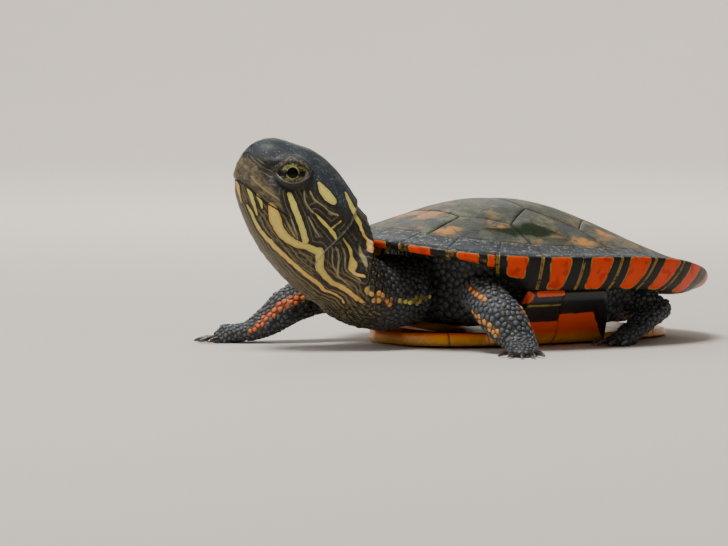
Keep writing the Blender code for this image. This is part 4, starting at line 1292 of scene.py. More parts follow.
def tail_stripes(points):
    """Distance to the yellow line along each side of the tail."""
    low, high = (np.array(corner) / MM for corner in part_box("tail"))
    middle = (low + high) / 2
    off = np.abs(np.abs(points[:, 0] - middle[0]) - 0.75)
    return np.where((points[:, 1] > low[1] + 1) & (points[:, 2] < 7), off - 0.16, 9.0)


def limb_marks(points):
    """Distance to the nearest stripe or spot on the limbs, and how yellow it is."""
    nearest, yellow = tail_stripes(points), np.full(len(points), 0.8)
    for row, share in LIMB_STRIPES:
        distance = to_stripe(points, row)
        yellow = np.where(distance < nearest, share, yellow)
        nearest = np.minimum(nearest, distance)
    return nearest, yellow


def skin_marks(mesh):
    """Stores where the skin's markings lie, as distances in millimetres and as angles."""
    points = coordinates(mesh)
    if "bead" not in mesh.attributes:
        bead, yellow = limb_marks(points)
        keep(mesh, "bead", bead)
        keep(mesh, "bead_warm", yellow)
        keep(mesh, "scaled", scaled_share(points))
    place, angle, reach = spine_place(points)
    local = in_head(points)
    forward, level = -local[:, 1], local[:, 2]
    wobble = 0.07 * noise(points, 0.45, 51) + 0.05 * noise(points, 0.9, 52)
    stripe, warm = np.full(len(points), FAR), np.zeros(len(points))
    for row, first, last in STRIPES:
        distance, way = to_head_stripe(row, place, angle, reach)
        closer = distance < stripe
        stripe = np.where(closer, distance, stripe)
        warm = np.where(closer, first + (last - first) * way, warm)
    near = reach < HEAD_REACH
    keep(mesh, "stripe", np.where(near, stripe + wobble, FAR))
    keep(mesh, "warm", warm)
    fine = np.min([to_head_stripe(row, place, angle, reach)[0] for row in FINE_LINES], axis=0)
    keep(mesh, "fine", np.where(near, fine + 0.5 * wobble, FAR))
    keep(mesh, "place", np.where(near, place, -20))
    keep(mesh, "around", angle)
    keep(mesh, "head", (1 - smoothstep(11, HEAD_REACH, reach)) * smoothstep(-8, -5, place))
    mouth = level - profile(MOUTH_LINE, forward)
    beak = np.maximum(level - profile(BEAK_TOP, forward), -mouth)
    keep(mesh, "beak", np.where(near & (forward > 9.5), beak + 2 * wobble, FAR))
    crested = near & (forward > 11) & (forward < 17.3)
    keep(mesh, "ridge", np.where(crested, level - profile(BEAK_RIDGE, forward), FAR))
    keep(mesh, "mouth", np.where(near & (forward > 9.8), mouth, FAR))
    keep(mesh, "fold", np.where(near & (angle > -35), profile(HEAD_FOLD, angle) - place, FAR))
    lid, field, lower = (np.full(len(points), value) for value in (FAR, FAR, 0.0))
    for middle, (_, side) in zip(eye_middles(), SIDES):
        along, above, out, depth = eye_coordinates(points, middle, side)
        facing = (depth > 0.1) & (out < 4.5)
        lid = np.where(facing, lid_distance(along, above), lid)
        field = np.where(facing, orbit_share(along, above), field)
        lower = np.where(facing, lower_share(along, above), lower)
    keep(mesh, "lid", lid)
    keep(mesh, "field", field)
    keep(mesh, "lower", lower)


SCALE_SHADE, SCALE_BROWN, SCALE_PALE = (0.062, 0.066, 0.066), (0.060, 0.046, 0.028), (0.17, 0.14, 0.085)
NECK_SHADE, FLANK_BROWN, GAP_SHADE = (0.018, 0.019, 0.021), (0.034, 0.028, 0.020), (0.010, 0.011, 0.012)
CROWN_FLECK, CROWN_SHADE, CROWN_OLIVE = (0.13, 0.155, 0.165), (0.007, 0.009, 0.011), (0.030, 0.034, 0.026)
# The pale olive of the contour lines is partly a painted highlight on glossy skin ridges.
CONTOUR_LINE_SHEEN, CHIN_OLIVE, FINE_YELLOW = (0.15, 0.135, 0.080), (0.075, 0.060, 0.034), (0.30, 0.26, 0.115)
STRIPE_HALO, STRIPE_BROWN = (0.008, 0.007, 0.006), (0.28, 0.20, 0.045)
# The paler yellow for the stripes' middles is partly a painted highlight.
STRIPE_RIM, STRIPE_CORE_HIGHLIGHT = (0.60, 0.33, 0.08), (0.66, 0.57, 0.15)
BEAK_BROWN, BEAK_FLECK, BEAK_CREST = (0.040, 0.028, 0.014), (0.20, 0.165, 0.085), (0.30, 0.24, 0.12)
# The black of the mouth line is painted shade in the groove between the jaws.
BEAK_SHADE, MOUTH_SHADE, FOLD_GREY = (0.016, 0.022, 0.022), (0.004, 0.003, 0.003), (0.22, 0.22, 0.19)
LID_TONES = (0.026, 0.023, 0.019), (0.125, 0.105, 0.068)
LOWER_LID, LID_RIM = (0.019, 0.017, 0.016), (0.075, 0.068, 0.052)
# The black under the lower lid is painted shade in its groove.
LID_EDGE, LID_GROOVE_SHADE, BROW_SHADE = (0.012, 0.011, 0.011), (0.006, 0.006, 0.007), (0.008, 0.010, 0.016)
CONTOUR_SPACING, THROAT_SPACING = 0.62, 6.2  # millimetres; degrees round the throat


class SkinPaint(Paint):
    """The skin's material, laid on in layers over what skin_marks stores."""

    def __init__(self):
        super().__init__("Skin", Coat_Weight=0.1, Coat_Roughness=0.3, Specular_IOR_Level=0.32)
        self.head, self.along, self.around, self.stripe = self.attributes("head", "place", "around", "stripe")
        self.scaled, self.rise, self.shade = self.attributes("scaled", "rise", "shade")
        self.grain, self.patchy, self.speckle = self.cloud(0.35, 4), self.cloud(1.6, 4), self.cloud(0.22, 2)
        self.crown = self.around.ease(30, 46) * self.along.ease(1.5, 3.5)

    def ground(self):
        """Legs and neck, with painted shade on the neck's base, the head's dark flanks and its blue-black
        crown, whose blue cast is partly a painted sky reflection.
        """
        base = self.mix(colours().limb, SCALE_SHADE, self.shade.ease(0.45, 0.95) * 0.8)
        base = self.mix(base, SCALE_BROWN, self.patchy.ease(0.5, 0.7) * 0.6)
        base = self.mix(base, SCALE_PALE, (self.shade + self.patchy * 0.5).ease(1.12, 1.3) * 0.6)
        base = self.mix(base, NECK_SHADE, self.along.ease(-19.5, -15) * 0.55)
        flank = self.mix(colours().flank, FLANK_BROWN, self.grain.ease(0.45, 0.65))
        base = self.mix(base, flank, self.head)
        flecked = self.speckle.ease(0.52, 0.64) * self.cloud(0.9, 3).ease(0.4, 0.6) * 0.8
        # Top of the head: dark skin whose blue cast is a painted sky reflection.
        top = self.mix(colours().crown, CROWN_FLECK, flecked)
        top = self.mix(top, CROWN_SHADE, self.grain.ease(0.48, 0.38) * 0.8)
        top = self.mix(top, CROWN_OLIVE, self.patchy.ease(0.5, 0.7) * 0.5)
        return self.mix(base, top, self.crown * self.head)

    def contours(self):
        """Fine lines beside the stripes, bent and broken by noise: their height, and where they show, pale on
        their crests as partly a painted highlight of glossy skin ridges.
        """
        wave = ((self.stripe + self.patchy * 0.35) * (math.tau / CONTOUR_SPACING)).sine()
        broken = (wave + self.cloud(1.1, 3) * 1.6).ease(1.25, 1.75)
        beside = self.head * self.around.ease(33, 24) * self.stripe.ease(0.2, 0.4) * self.along.ease(-7, -3)
        return wave, broken * beside

    def with_lines(self, base, sides):
        """Adds the contours, whose pale olive on the ridges is partly a painted highlight, the throat's rows
        of olive lines and the drawn fine lines.
        """
        # Pale olive on the contour ridges: partly real fine lines, partly a painted highlight on glossy skin.
        base = self.mix(base, CONTOUR_LINE_SHEEN, sides * 0.55)
        rows = ((self.around + self.cloud(2.0, 2) * 9) * (math.tau / THROAT_SPACING)).sine()
        lines = (rows + self.patchy * 0.8).ease(0.55, 1.15) * self.head * self.around.ease(-16, -26)
        base = self.mix(base, colours().throat, lines * 0.85)
        under = self.around.ease(-56, -78) * self.head * self.along.ease(0, 4)
        base = self.mix(base, CHIN_OLIVE, under * 0.4)
        fine = (self.attribute("fine") + self.grain * 0.06).ease(0.12, 0.0)
        return self.mix(base, FINE_YELLOW, fine * 0.85)

    def with_stripes(self, base):
        """Adds the head's stripes, each with a dark edge round it and a paler core that is partly a painted
        highlight.
        """
        warm = self.attribute("warm")
        base = self.mix(base, STRIPE_HALO, self.stripe.ease(0.34, 0.1) * 0.7)
        stripes = self.mix(colours().stripe, colours().stripe_warm, warm)
        stripes = self.mix(stripes, STRIPE_BROWN, self.grain.ease(0.50, 0.72) * 0.5)
        rim = (self.stripe + self.grain * 0.1).ease(-0.22, 0.0) * warm.ease(0.02, 0.3) * 0.7
        stripes = self.mix(stripes, STRIPE_RIM, rim)
        # A paler core along each stripe: partly its real yellow centre, partly a painted highlight.
        core_highlight = (self.stripe + self.grain * 0.2).ease(-0.10, -0.36) * (0.8 - warm * 0.7)
        stripes = self.mix(stripes, STRIPE_CORE_HIGHLIGHT, core_highlight)
        return self.mix(base, stripes, (self.stripe + self.grain * 0.08).ease(0.09, -0.03))

    def with_beads(self, base, spot):
        """Adds the bright scales of the legs and neck, and painted shade at the foot of each scale and in the
        gaps between all scales.
        """
        beads = self.mix(colours().limb_stripe, colours().stripe, self.attribute("bead_warm"))
        base = self.mix(base, beads, spot)
        # Painted shade, darker towards the foot of each scale and in the gaps between scales.
        return self.mix(base, GAP_SHADE, self.rise.ease(0.62, 0.1) * self.scaled * 0.75)

    def with_beak(self, base):
        """Adds the beak's horn, the line of the mouth as painted shade in its groove, and the crease behind
        the head.
        """
        beak, ridge, mouth, fold = self.attributes("beak", "ridge", "mouth", "fold")
        horn = self.mix(colours().beak, BEAK_BROWN, self.cloud(0.9, 4).ease(0.42, 0.6) * 0.85)
        flecks = self.cloud(0.5, 3, place=self.stretched((1, 0.5, 2))).ease(0.5, 0.75)
        horn = self.mix(horn, BEAK_FLECK, flecks * 0.6)
        horn = self.mix(horn, BEAK_CREST, ridge.ease(0.2, 0.04) * ridge.ease(-0.2, -0.04) * 0.7)
        horn = self.mix(horn, BEAK_SHADE, (beak + self.patchy * 0.6).ease(-0.3, 0.3) * 0.85)
        base = self.mix(base, horn, (beak + self.patchy * 0.5).ease(0.28, -0.3))
        # Painted shade: a black line in the carved groove of the mouth.
        base = self.mix(base, MOUTH_SHADE, mouth.ease(0.13, 0.05) * mouth.ease(-0.13, -0.05))
        crease = fold.ease(0.02, -0.10) * fold.ease(-0.36, -0.22)
        return self.mix(base, FOLD_GREY, crease * (self.grain.ease(0.3, 0.5) * 0.7))

    def with_lids(self, base):
        """Adds a dark field, mottled above, a pale inner rim below and painted shade in the groove under the
        lower lid.
        """
        lid, field, lower = self.attributes("lid", "field", "lower")
        lids = self.mix(*LID_TONES, self.cloud(0.4, 4).ease(0.47, 0.62))
        lids = self.mix(lids, LOWER_LID, lower)
        lids = self.mix(lids, LID_RIM, lid.ease(0.26, 0.16) * lower)
        lids = self.mix(lids, LID_EDGE, lid.ease(0.10, 0.03))
        # Painted shade in the carved groove under the lower lid.
        lids = self.mix(lids, LID_GROOVE_SHADE, lid.ease(0.86, 0.98) * lid.ease(1.3, 1.12) * lower)
        base = self.mix(base, lids, field.ease(1.06, 0.98))
        brow = field.ease(0.97, 1.02) * field.ease(1.1, 1.05) * (1 - lower)
        return self.mix(base, BROW_SHADE, brow)


def skin_material():
    paint = SkinPaint()
    spot = (paint.attribute("bead") + paint.grain * 0.1 + paint.shade * 0.25).ease(0.30, 0.16)
    contour, sides = paint.contours()
    base = paint.with_lines(paint.ground(), sides)
    base = paint.with_beads(paint.with_stripes(base), spot)
    base = paint.with_lids(paint.with_beak(base))
    top = paint.crown * paint.head
    cells = paint.pebbles(0.45) * 0.3 * paint.head + paint.speckle * 0.35 * top
    height = cells * 0.6 + spot * paint.head * 2.0 + paint.grain * 0.4 + paint.patchy * 0.5
    height = height + contour * sides * 0.2
    return paint.finish(base, paint.grain * 0.3 + top * 0.2 + 0.34, height, 0.05)


# ---------------------------------------------------------------- scales


SCALE_SPACING, FOOT_SPACING, TRUNK_SPACING = 0.62, 0.46, 0.85
SCALE_RISE, SCALE_GAP = 0.19, 0.035
SIDES_ROUND = 8
SAMPLES_PER_AREA = 14  # per square millimetre, before thinning
NEIGHBOURS = 13
# From a scale's foot to its top: share of its reach and share of its height.
SCALE_RINGS = ((1.0, -0.35), (0.95, 0.4), (0.62, 0.9))
PATCH_RADIUS = 0.0015
SCALED = ("neck", "trunk", "tail", *(node for node in FLESH if "leg" in node))


def scaled_share(points):
    """1 where scales cover the skin, 0 on the head and down the neck's smooth pleats."""
    place, angle, reach = spine_place(points)
    bare = smoothstep(-2.4, -1.2, place + 0.5 * noise(points, 1.4, 61) + 1.2 * bump(angle + 20, 30))
    return 1 - bare * (reach < 13)


def scale_spacing(points):
    """Distance between scales: smallest on hands and feet, widest on the body."""
    small = 1 - smoothstep(1.5, 4.5, points[:, 2])
    wide = 1 - smoothstep(0.55, 0.75, share_out(points[:, 0], points[:, 1]))
    spacing = SCALE_SPACING + (FOOT_SPACING - SCALE_SPACING) * small
    return spacing + (TRUNK_SPACING - spacing) * wide


def skin_samples(mesh, rng, per_area):
    """Places scattered evenly over the skin, with the direction out of it."""
    mesh.calc_loop_triangles()
    corners = np.empty(len(mesh.loop_triangles) * 3, np.int32)
    mesh.loop_triangles.foreach_get("vertices", corners)
    corners = corners.reshape(-1, 3)
    points, out = coordinates(mesh), normals(mesh)
    a, b, c = points[corners].transpose(1, 0, 2)
    area = np.linalg.norm(np.cross(b - a, c - a), axis=1) / 2
    chosen = rng.choice(len(area), int(area.sum() * per_area), p=area / area.sum())
    weights = rng.dirichlet((1, 1, 1), len(chosen))
    spots, ways = (np.einsum("ij,ijk->ik", weights, values[corners[chosen]]) for values in (points, out))
    return spots, ways / np.linalg.norm(ways, axis=1)[:, None]


def thinned(points, spacing):
    """Which of these points to keep so that none is nearer to another than its own spacing."""
    tree = point_tree(points)
    free, kept = np.ones(len(points), bool), []
    for i, point in enumerate(points):
        if free[i]:
            kept.append(i)
            for _, other, _ in tree.find_range(point, spacing[i]):
                free[other] = False
    return np.array(kept)


def tree_of(names):
    """A search tree over the surfaces of these solids, in millimetres."""
    verts, faces = [], []
    for name in names:
        bm = welded(NODES[name])
        start = len(verts)
        verts += [tuple(vertex.co / MM) for vertex in bm.verts]
        faces += [[start + vertex.index for vertex in face.verts] for face in bm.faces]
        bm.free()
    return BVHTree.FromPolygons(verts, faces)


def scale_roots(mesh):
    """Where scales grow: place, direction out and the solid beneath."""
    rng = np.random.default_rng(sizes().seed)
    points, out = skin_samples(mesh, rng, SAMPLES_PER_AREA)
    use = share_out(points[:, 0], points[:, 1]) > 0.5
    use &= (scaled_share(points) > 0.5) & (points[:, 2] > 0.15)
    points, out = points[use], out[use]
    kept = thinned(points, scale_spacing(points))
    points, out = points[kept], out[kept]
    shell = tree_of([name for name in NODES if "scute" in name or "plastron" in name])
    hits = [shell.ray_cast(Vector(p + 0.3 * n), Vector(n), 1.3)[0] for p, n in zip(points, out)]
    bare = np.array([hit is None for hit in hits])
    points, out = points[bare], out[bare]
    trees = [tree_of([name]) for name in ("head", "lower_jaw", *SCALED)]
    near = np.array([[tree.find_nearest(Vector(p))[3] for tree in trees] for p in points]).argmin(axis=1) - 2
    return points[near >= 0], out[near >= 0], near[near >= 0]


def scale_reach(points, across, along):
    """How far each scale reaches in each direction round it before it meets its neighbours."""
    tree = point_tree(points)
    near = np.array([[hit[1] for hit in tree.find_n(point, NEIGHBOURS + 1)] for point in points])[:, 1:]
    offset = points[near] - points[:, None]
    flat = np.stack([np.einsum("ijk,ik->ij", offset, axis) for axis in (across, along)], axis=2)
    turns = np.arange(SIDES_ROUND) * math.tau / SIDES_ROUND
    ways = np.stack([np.cos(turns), np.sin(turns)], axis=1)
    facing = np.maximum(np.einsum("ijk,lk->ijl", flat, ways), 0)
    pull = 2 * facing / (np.linalg.norm(flat, axis=2) ** 2)[..., None]
    reach = np.maximum((pull**9).sum(axis=1), 1e-12) ** (-1 / 9)
    return np.minimum(reach - SCALE_GAP, 0.68 * scale_spacing(points)[:, None]), ways


def unwrap_place(points, out, part):
    """Place of each root on an unwrap of the skin: a cell for each solid and each of its six sides."""
    side = np.argmax(np.abs(out), axis=1)
    cell = side * 2 + (out[np.arange(len(out)), side] > 0)
    flat = np.empty((len(points), 2))
    for each in np.unique(part):
        rows = part == each
        low, high = points[rows].min(axis=0), points[rows].max(axis=0)
        local = (points[rows] - low) / (high - low).max()
        axes = (side[rows, None] + [1, 2]) % 3
        flat[rows] = np.take_along_axis(local, axes, axis=1)
    corner = np.stack([cell, part], axis=1) + 0.03
    return (corner + 0.94 * flat) / [6, len(SCALED)]


def scale_mesh(ways, points, out, reach, across, along, uv, shade, tall):
    """Many low domes in one mesh, each filling its place between its neighbours."""
    count, rings = len(points), len(SCALE_RINGS)
    each = rings * SIDES_ROUND + 1
    verts = np.empty((count, each, 3))
    round_way = ways[None, :, :1] * across[:, None] + ways[None, :, 1:] * along[:, None]
    lean = 0.12 * along[:, None] * reach.mean(axis=1)[:, None, None]
    for ring, (share, height) in enumerate(SCALE_RINGS):
        rows = slice(ring * SIDES_ROUND, (ring + 1) * SIDES_ROUND)
        level = out[:, None] * (height * tall)[:, None, None]
        verts[:, rows] = points[:, None] + round_way * (share * reach)[..., None] + level + lean * (1 - share)
    verts[:, -1] = points + out * tall[:, None] + lean[:, 0]
    around = np.arange(SIDES_ROUND)
    ahead = (around + 1) % SIDES_ROUND
    faces = [tuple(around[::-1])]
    for ring in range(rings - 1):
        low = ring * SIDES_ROUND
        high = low + SIDES_ROUND
        faces += [(low + i, low + j, high + j, high + i) for i, j in zip(around, ahead)]
    low = (rings - 1) * SIDES_ROUND
    faces += [(low + i, low + j, each - 1) for i, j in zip(around, ahead)]
    every = [tuple(start + i for i in face) for start in range(0, count * each, each) for face in faces]
    mesh = bpy.data.meshes.new("scales")
    mesh.from_pydata((verts.reshape(-1, 3) * MM).tolist(), [], every)
    rise = np.array([*np.repeat([max(0, height) for _, height in SCALE_RINGS], SIDES_ROUND), 1.0])
    keep(mesh, "rise", np.tile(rise, count))
    keep(mesh, "shade", np.repeat(shade, each))
    keep(mesh, "scaled", np.ones(count * each))
    bead, yellow = limb_marks(points)
    keep(mesh, "bead", np.repeat(bead - 0.12, each))
    keep(mesh, "bead_warm", np.repeat(yellow, each))
    spread = np.concatenate([ways * share for share, _ in SCALE_RINGS] + [[[0, 0]]]) * PATCH_RADIUS
    place = (uv[:, None] + spread[None]).reshape(-1, 2)
    corners = np.empty(len(mesh.loops), np.int32)
    mesh.loops.foreach_get("vertex_index", corners)
    mesh.uv_layers.new(name="OFBake").data.foreach_set("uv", place[corners].astype(np.float32).ravel())
    return mesh


def scale_groups(mesh):
    """One mesh of scales for each part of the body."""
    points, out, part = scale_roots(mesh)
    outward = points * [1, 0.6, 0] + [0, 0, -6]
    along = outward - out * np.einsum("ij,ij->i", outward, out)[:, None]
    along /= np.linalg.norm(along, axis=1)[:, None]
    across = np.cross(along, out)
    reach, ways = scale_reach(points, across, along)
    uv = unwrap_place(points, out, part)
    rng = np.random.default_rng(sizes().seed + 1)
    shade = rng.random(len(points))
    tall = SCALE_RISE * scale_spacing(points) / SCALE_SPACING * (0.75 + 0.5 * rng.random(len(points)))
    tall = tall * np.where(part < 2, 0.7, 1)
    for i, node in enumerate(SCALED):
        rows = (part == i) & (reach.min(axis=1) > 0.08)
        if rows.any():
            rows_of = [values[rows] for values in (points, out, reach, across, along, uv, shade, tall)]
            yield node, scale_mesh(ways, *rows_of)


# ---------------------------------------------------------------- eyes and claws


IRIS_TONES, IRIS_BRIGHT = ((0.140, 0.130, 0.048), (0.026, 0.020, 0.012)), (0.21, 0.205, 0.075)
IRIS_BAR, IRIS_RING, EYE_WHITE = (0.008, 0.007, 0.006), (0.33, 0.35, 0.13), (0.24, 0.24, 0.19)
PUPIL_BLACK = (0.001, 0.001, 0.001)


def eye_material():
    paint = Paint("Eye", Roughness=0.3, Specular_IOR_Level=0.05, Coat_Weight=0.25, Coat_Roughness=0.03)
    pupil, ring, bar, rear = paint.attributes("pupil", "ring", "bar", "rear")
    mottle = paint.cloud(0.4, 4)
    iris = paint.mix(*IRIS_TONES, mottle.ease(0.42, 0.54))
    iris = paint.mix(iris, IRIS_BRIGHT, (pupil + mottle * 0.8).ease(0.85, 0.5) * 0.6)
    iris = paint.mix(iris, IRIS_BAR, bar.ease(0.14, -0.10))
    iris = paint.mix(iris, IRIS_RING, ring.ease(0.08, 0.02) * (mottle.ease(0.3, 0.5) * 0.5 + 0.35))
    iris = paint.mix(iris, EYE_WHITE, (rear + mottle * 0.3).ease(0.1, 0.4) * 0.8)
    iris = paint.mix(iris, PUPIL_BLACK, pupil.ease(0.05, -0.05))
    return paint.finish(iris)


def eye_mesh(middle, side):
    bm = bmesh.new()
    bmesh.ops.create_uvsphere(
        bm, u_segments=96, v_segments=64, radius=EYE_RADIUS * MM, matrix=Matrix.Translation(middle * MM)
    )
    mesh = mesh_from(bm, "eye")
    points = coordinates(mesh)
    along, above, _, depth = eye_coordinates(points, middle, side)
    centre = np.where(depth > 0, np.hypot(along, above), FAR)
    keep(mesh, "pupil", centre - sizes().pupil_radius / MM)
    keep(mesh, "ring", np.abs(centre - sizes().pupil_radius / MM - 0.1))
    behind = np.hypot(along + 0.6, above - 0.5) - 2.45 - np.abs(above) * 0.1
    keep(mesh, "rear", np.where(depth > 0, behind, 0))
    keep(mesh, "bar", np.where(depth > 0, np.abs(above + 0.1) - 0.22 - 0.16 * np.abs(along), FAR))
    return mesh


CLAW_TONES = (0.020, 0.018, 0.016), (0.085, 0.068, 0.050)


def claw_material():
    paint = Paint("Claw horn", Coat_Weight=0.3, Coat_Roughness=0.15)
    grain = paint.cloud(0.4, 4)
    base = paint.mix(*CLAW_TONES, (paint.attribute("tip") + grain * 0.3).ease(0.55, 1.0) * 0.8)
    return paint.finish(base, grain * 0.2 + 0.2, grain, 0.02)


def claw_mesh(node):
    """The claw's solid, smoothed, with the share of the way from its root to its tip."""
    mesh = mesh_from(welded(NODES[node]), node)
    mesh = applied(mesh, "SUBSURF", levels=2, render_levels=2)
    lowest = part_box(node)[0][2] / MM
    points = coordinates(mesh)
    limb = node.split("_claw_")[0]
    root = np.array(sum(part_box(limb), Vector()) / 2) / MM
    far = np.linalg.norm(points - root, axis=1)
    points[:, 2] = np.maximum(points[:, 2], lowest)
    move_to(mesh, points)
    keep(mesh, "tip", (far - far.min()) / np.ptp(far))
    return mesh


# ---------------------------------------------------------------- stage


BACKDROP_RADIUS, BACKDROP_BEND, BACKDROP_HEIGHT = 1.6, 0.7, 1.3
FLOOR_COLOURS = (0.60, 0.56, 0.51), (0.63, 0.59, 0.54)
CAMERA_AT, CAMERA_AIM, CAMERA_LENS = (372.0, -286.7, 37.2), (-12.30, -17.57, 9.35), 163.1
# Name, place, aim, size, power and colour of each light.
LIGHTS = (
    ("key", (0.03, -0.13, 0.48), (0, -0.02, 0.01), 0.2, 2.9, (1, 0.97, 0.92)),
    ("fill", (-0.12, -0.60, 0.26), (0, -0.02, 0.01), 0.4, 1.0, (0.93, 0.96, 1)),
    ("back", (-0.35, 0.20, 0.30), (0, 0, 0.01), 0.3, 0.5, (1, 1, 1)),
    ("wash", (-0.40, 0.28, 0.80), (-1.5, 1.05, 0.0), 0.9, 16, (1, 0.96, 0.9)),
)
SKY_COLOUR, SKY_STRENGTH = (0.80, 0.80, 0.79, 1), 0.42


def backdrop_mesh():
    """A pale floor that curves up into a wall all round."""
    bm = bmesh.new()
    turns = np.linspace(0, math.pi / 2, 17)
    bend = BACKDROP_BEND
    rows = [(0, 0), *zip(BACKDROP_RADIUS - bend + bend * np.sin(turns), bend - bend * np.cos(turns))]
    rows.append((BACKDROP_RADIUS, BACKDROP_HEIGHT))
    verts = [bm.verts.new((float(out), 0, float(up))) for out, up in rows]
    edges = [bm.edges.new(pair) for pair in zip(verts, verts[1:])]
    bmesh.ops.spin(
        bm, geom=verts + edges, cent=(0, 0, 0), axis=(0, 0, 1), angle=math.tau, steps=96, use_merge=True
    )
    bmesh.ops.remove_doubles(bm, verts=bm.verts, dist=0.0001)
    bmesh.ops.recalc_face_normals(bm, faces=bm.faces)
    mesh = mesh_from(bm, "floor")
    mesh.shade_smooth()
    return mesh


def area_light(name, place, aim, size, power, colour):
    lamp = bpy.data.lights.new(name, "AREA")
    lamp.shape = "DISK"
    lamp.size = size
    lamp.energy = power
    lamp.color = colour
    light = bpy.data.objects.new(name, lamp)
    light.location = place
    light.rotation_euler = (Vector(aim) - Vector(place)).to_track_quat("-Z", "Y").to_euler()
    bpy.context.scene.collection.objects.link(light)
    light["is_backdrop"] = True


# ---------------------------------------------------------------- operators


class TURTLE_OT_carapace(bpy.types.Operator):
    """Lays the thirteen plates of the back"""

    bl_idname = "turtle.carapace"
    bl_label = "Carapace"

    def execute(self, context):
        horn = carapace_material()
        for name, corners in carapace_outlines().items():
            mesh, points, edge = scute_mesh(corners)
            carapace_marks(mesh, points, edge)
            add_piece(closed_out(mesh), f"{name}_horn", horn, [name])
        return {"FINISHED"}


class TURTLE_OT_marginals(bpy.types.Operator):
    """Lays the nuchal plate and the marginal plates round the rim"""

    bl_idname = "turtle.marginals"
    bl_label = "Marginals"

    def execute(self, context):
        horn = marginal_material()
        seam = sizes().seam_width / MM
        last = rim_arc()[1][-1]
        half = NUCHAL_HALF_WIDTH - seam / 2
        stretches = [("nuchal_scute", 1, np.linspace(-half, half, 18))]
        for side, sign in SIDES:
            arcs = rim_arcs(NUCHAL_HALF_WIDTH + seam / 2, last - seam / 2)
            stretches.append((f"marginal_scutes_{side}", sign, arcs))
        for name, sign, arcs in stretches:
            mesh = rim_mesh(arcs, sign)
            grooves = [cut for cut in marginal_seams() if arcs[0] < cut < arcs[-1]]
            points = carve_rim(mesh, np.array(grooves))
            marginal_marks(mesh, points)
            add_piece(mesh, f"{name}_horn", horn, [name])
        return {"FINISHED"}


class TURTLE_OT_plastron(bpy.types.Operator):
    """Lays the six pairs of plates under the body"""

    bl_idname = "turtle.plastron"
    bl_label = "Plastron"

    def execute(self, context):
        horn = plastron_material()
        seam = sizes().seam_width / MM / 2
        seams = [PLASTRON_FRONT_Y + 0.4, *PLASTRON_SEAMS, PLASTRON_REAR_Y - 0.4]
        for name, front, rear in zip(PLASTRON_SCUTES, seams, seams[1:]):
            mesh = plastron_mesh(front + seam, rear - seam)
            plastron_marks(mesh, front + seam, rear - seam)
            add_piece(mesh, f"plastron_{name}_horn", horn, [f"plastron_{name}"])
        return {"FINISHED"}


class TURTLE_OT_skin(bpy.types.Operator):
    """Covers the head, neck, body, legs and tail with one skin"""

    bl_idname = "turtle.skin"
    bl_label = "Skin"

    def execute(self, context):
        mesh = skin_mesh()
        skin_marks(mesh)
        material = skin_material()
        for node, scales in scale_groups(mesh):
            skin_marks(scales)
            add_piece(scales, f"scales_{node}", material)
        add_piece(mesh, "skin", material, FLESH)
        return {"FINISHED"}


class TURTLE_OT_eyes(bpy.types.Operator):
    """Sets the two eyes behind their lids"""

    bl_idname = "turtle.eyes"
    bl_label = "Eyes"

    def execute(self, context):
        gloss = eye_material()
        for middle, (side, sign) in zip(eye_middles(), SIDES):
            add_piece(eye_mesh(middle, sign), f"eyeball_{side}", gloss, [f"eye_{side}"])
        return {"FINISHED"}


class TURTLE_OT_claws(bpy.types.Operator):
    """Shapes the eighteen claws"""

    bl_idname = "turtle.claws"
    bl_label = "Claws"

    def execute(self, context):
        horn = claw_material()
        for node in sorted(name for name in NODES if "_claw_" in name):
            add_piece(claw_mesh(node), f"{node}_horn", horn, [node])
        return {"FINISHED"}


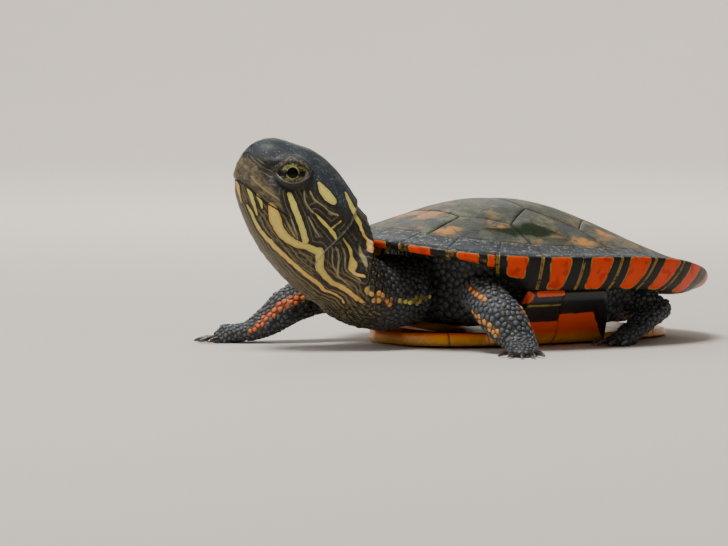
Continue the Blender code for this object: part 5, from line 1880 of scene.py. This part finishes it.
class TURTLE_OT_stage(bpy.types.Operator):
    """Adds the floor, the light and the camera"""

    bl_idname = "turtle.stage"
    bl_label = "Stage"

    def execute(self, context):
        scene = context.scene
        floor = bpy.data.objects.new("floor", backdrop_mesh())
        paint = Paint("Floor", Roughness=0.8, Specular_IOR_Level=0.2)
        floor.data.materials.append(paint.finish(paint.mix(*FLOOR_COLOURS, paint.cloud(60))))
        scene.collection.objects.link(floor)
        floor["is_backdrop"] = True
        for light in LIGHTS:
            area_light(*light)
        world = bpy.data.worlds.new("studio")
        world.use_nodes = True
        sky = world.node_tree.nodes["Background"].inputs
        sky["Color"].default_value = SKY_COLOUR
        sky["Strength"].default_value = SKY_STRENGTH
        scene.world = world
        lens = bpy.data.cameras.new("camera")
        lens.lens = CAMERA_LENS
        lens.sensor_width = 36
        lens.clip_start = 0.01
        camera = bpy.data.objects.new("camera", lens)
        camera.location = Vector(CAMERA_AT) * MM
        look = Vector(CAMERA_AIM) - Vector(CAMERA_AT)
        camera.rotation_euler = look.to_track_quat("-Z", "Y").to_euler()
        scene.collection.objects.link(camera)
        camera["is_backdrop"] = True
        scene.camera = camera
        return {"FINISHED"}


PIECES = (
    TURTLE_OT_carapace,
    TURTLE_OT_marginals,
    TURTLE_OT_plastron,
    TURTLE_OT_skin,
    TURTLE_OT_eyes,
    TURTLE_OT_claws,
    TURTLE_OT_stage,
)


class TURTLE_PT_pieces(bpy.types.Panel):
    """Sizes, colours and pieces of the turtle"""

    bl_idname = "TURTLE_PT_pieces"
    bl_label = "Painted turtle"
    bl_space_type = "VIEW_3D"
    bl_region_type = "UI"
    bl_category = "Turtle"

    def draw(self, context):
        for settings in (context.scene.turtle_sizes, context.scene.turtle_colours):
            column = self.layout.column()
            for name in settings.__annotations__:
                column.prop(settings, name)
        for piece in PIECES:
            self.layout.operator(piece.bl_idname)


CLASSES = (TurtleSizes, TurtleColours, *PIECES, TURTLE_PT_pieces)


def register():
    for each in CLASSES:
        bpy.utils.register_class(each)
    bpy.types.Scene.turtle_sizes = PointerProperty(type=TurtleSizes)
    bpy.types.Scene.turtle_colours = PointerProperty(type=TurtleColours)


def unregister():
    del bpy.types.Scene.turtle_colours
    del bpy.types.Scene.turtle_sizes
    for each in reversed(CLASSES):
        bpy.utils.unregister_class(each)


def main():
    register()
    for piece in PIECES:
        group, name = piece.bl_idname.split(".")
        getattr(getattr(bpy.ops, group), name)()
    boxes = {"cad": CAD_BOX, "visual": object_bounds()}
    {name: [list(corner) for corner in box] for name, box in boxes.items()}


if __name__ == "__main__":
    main()
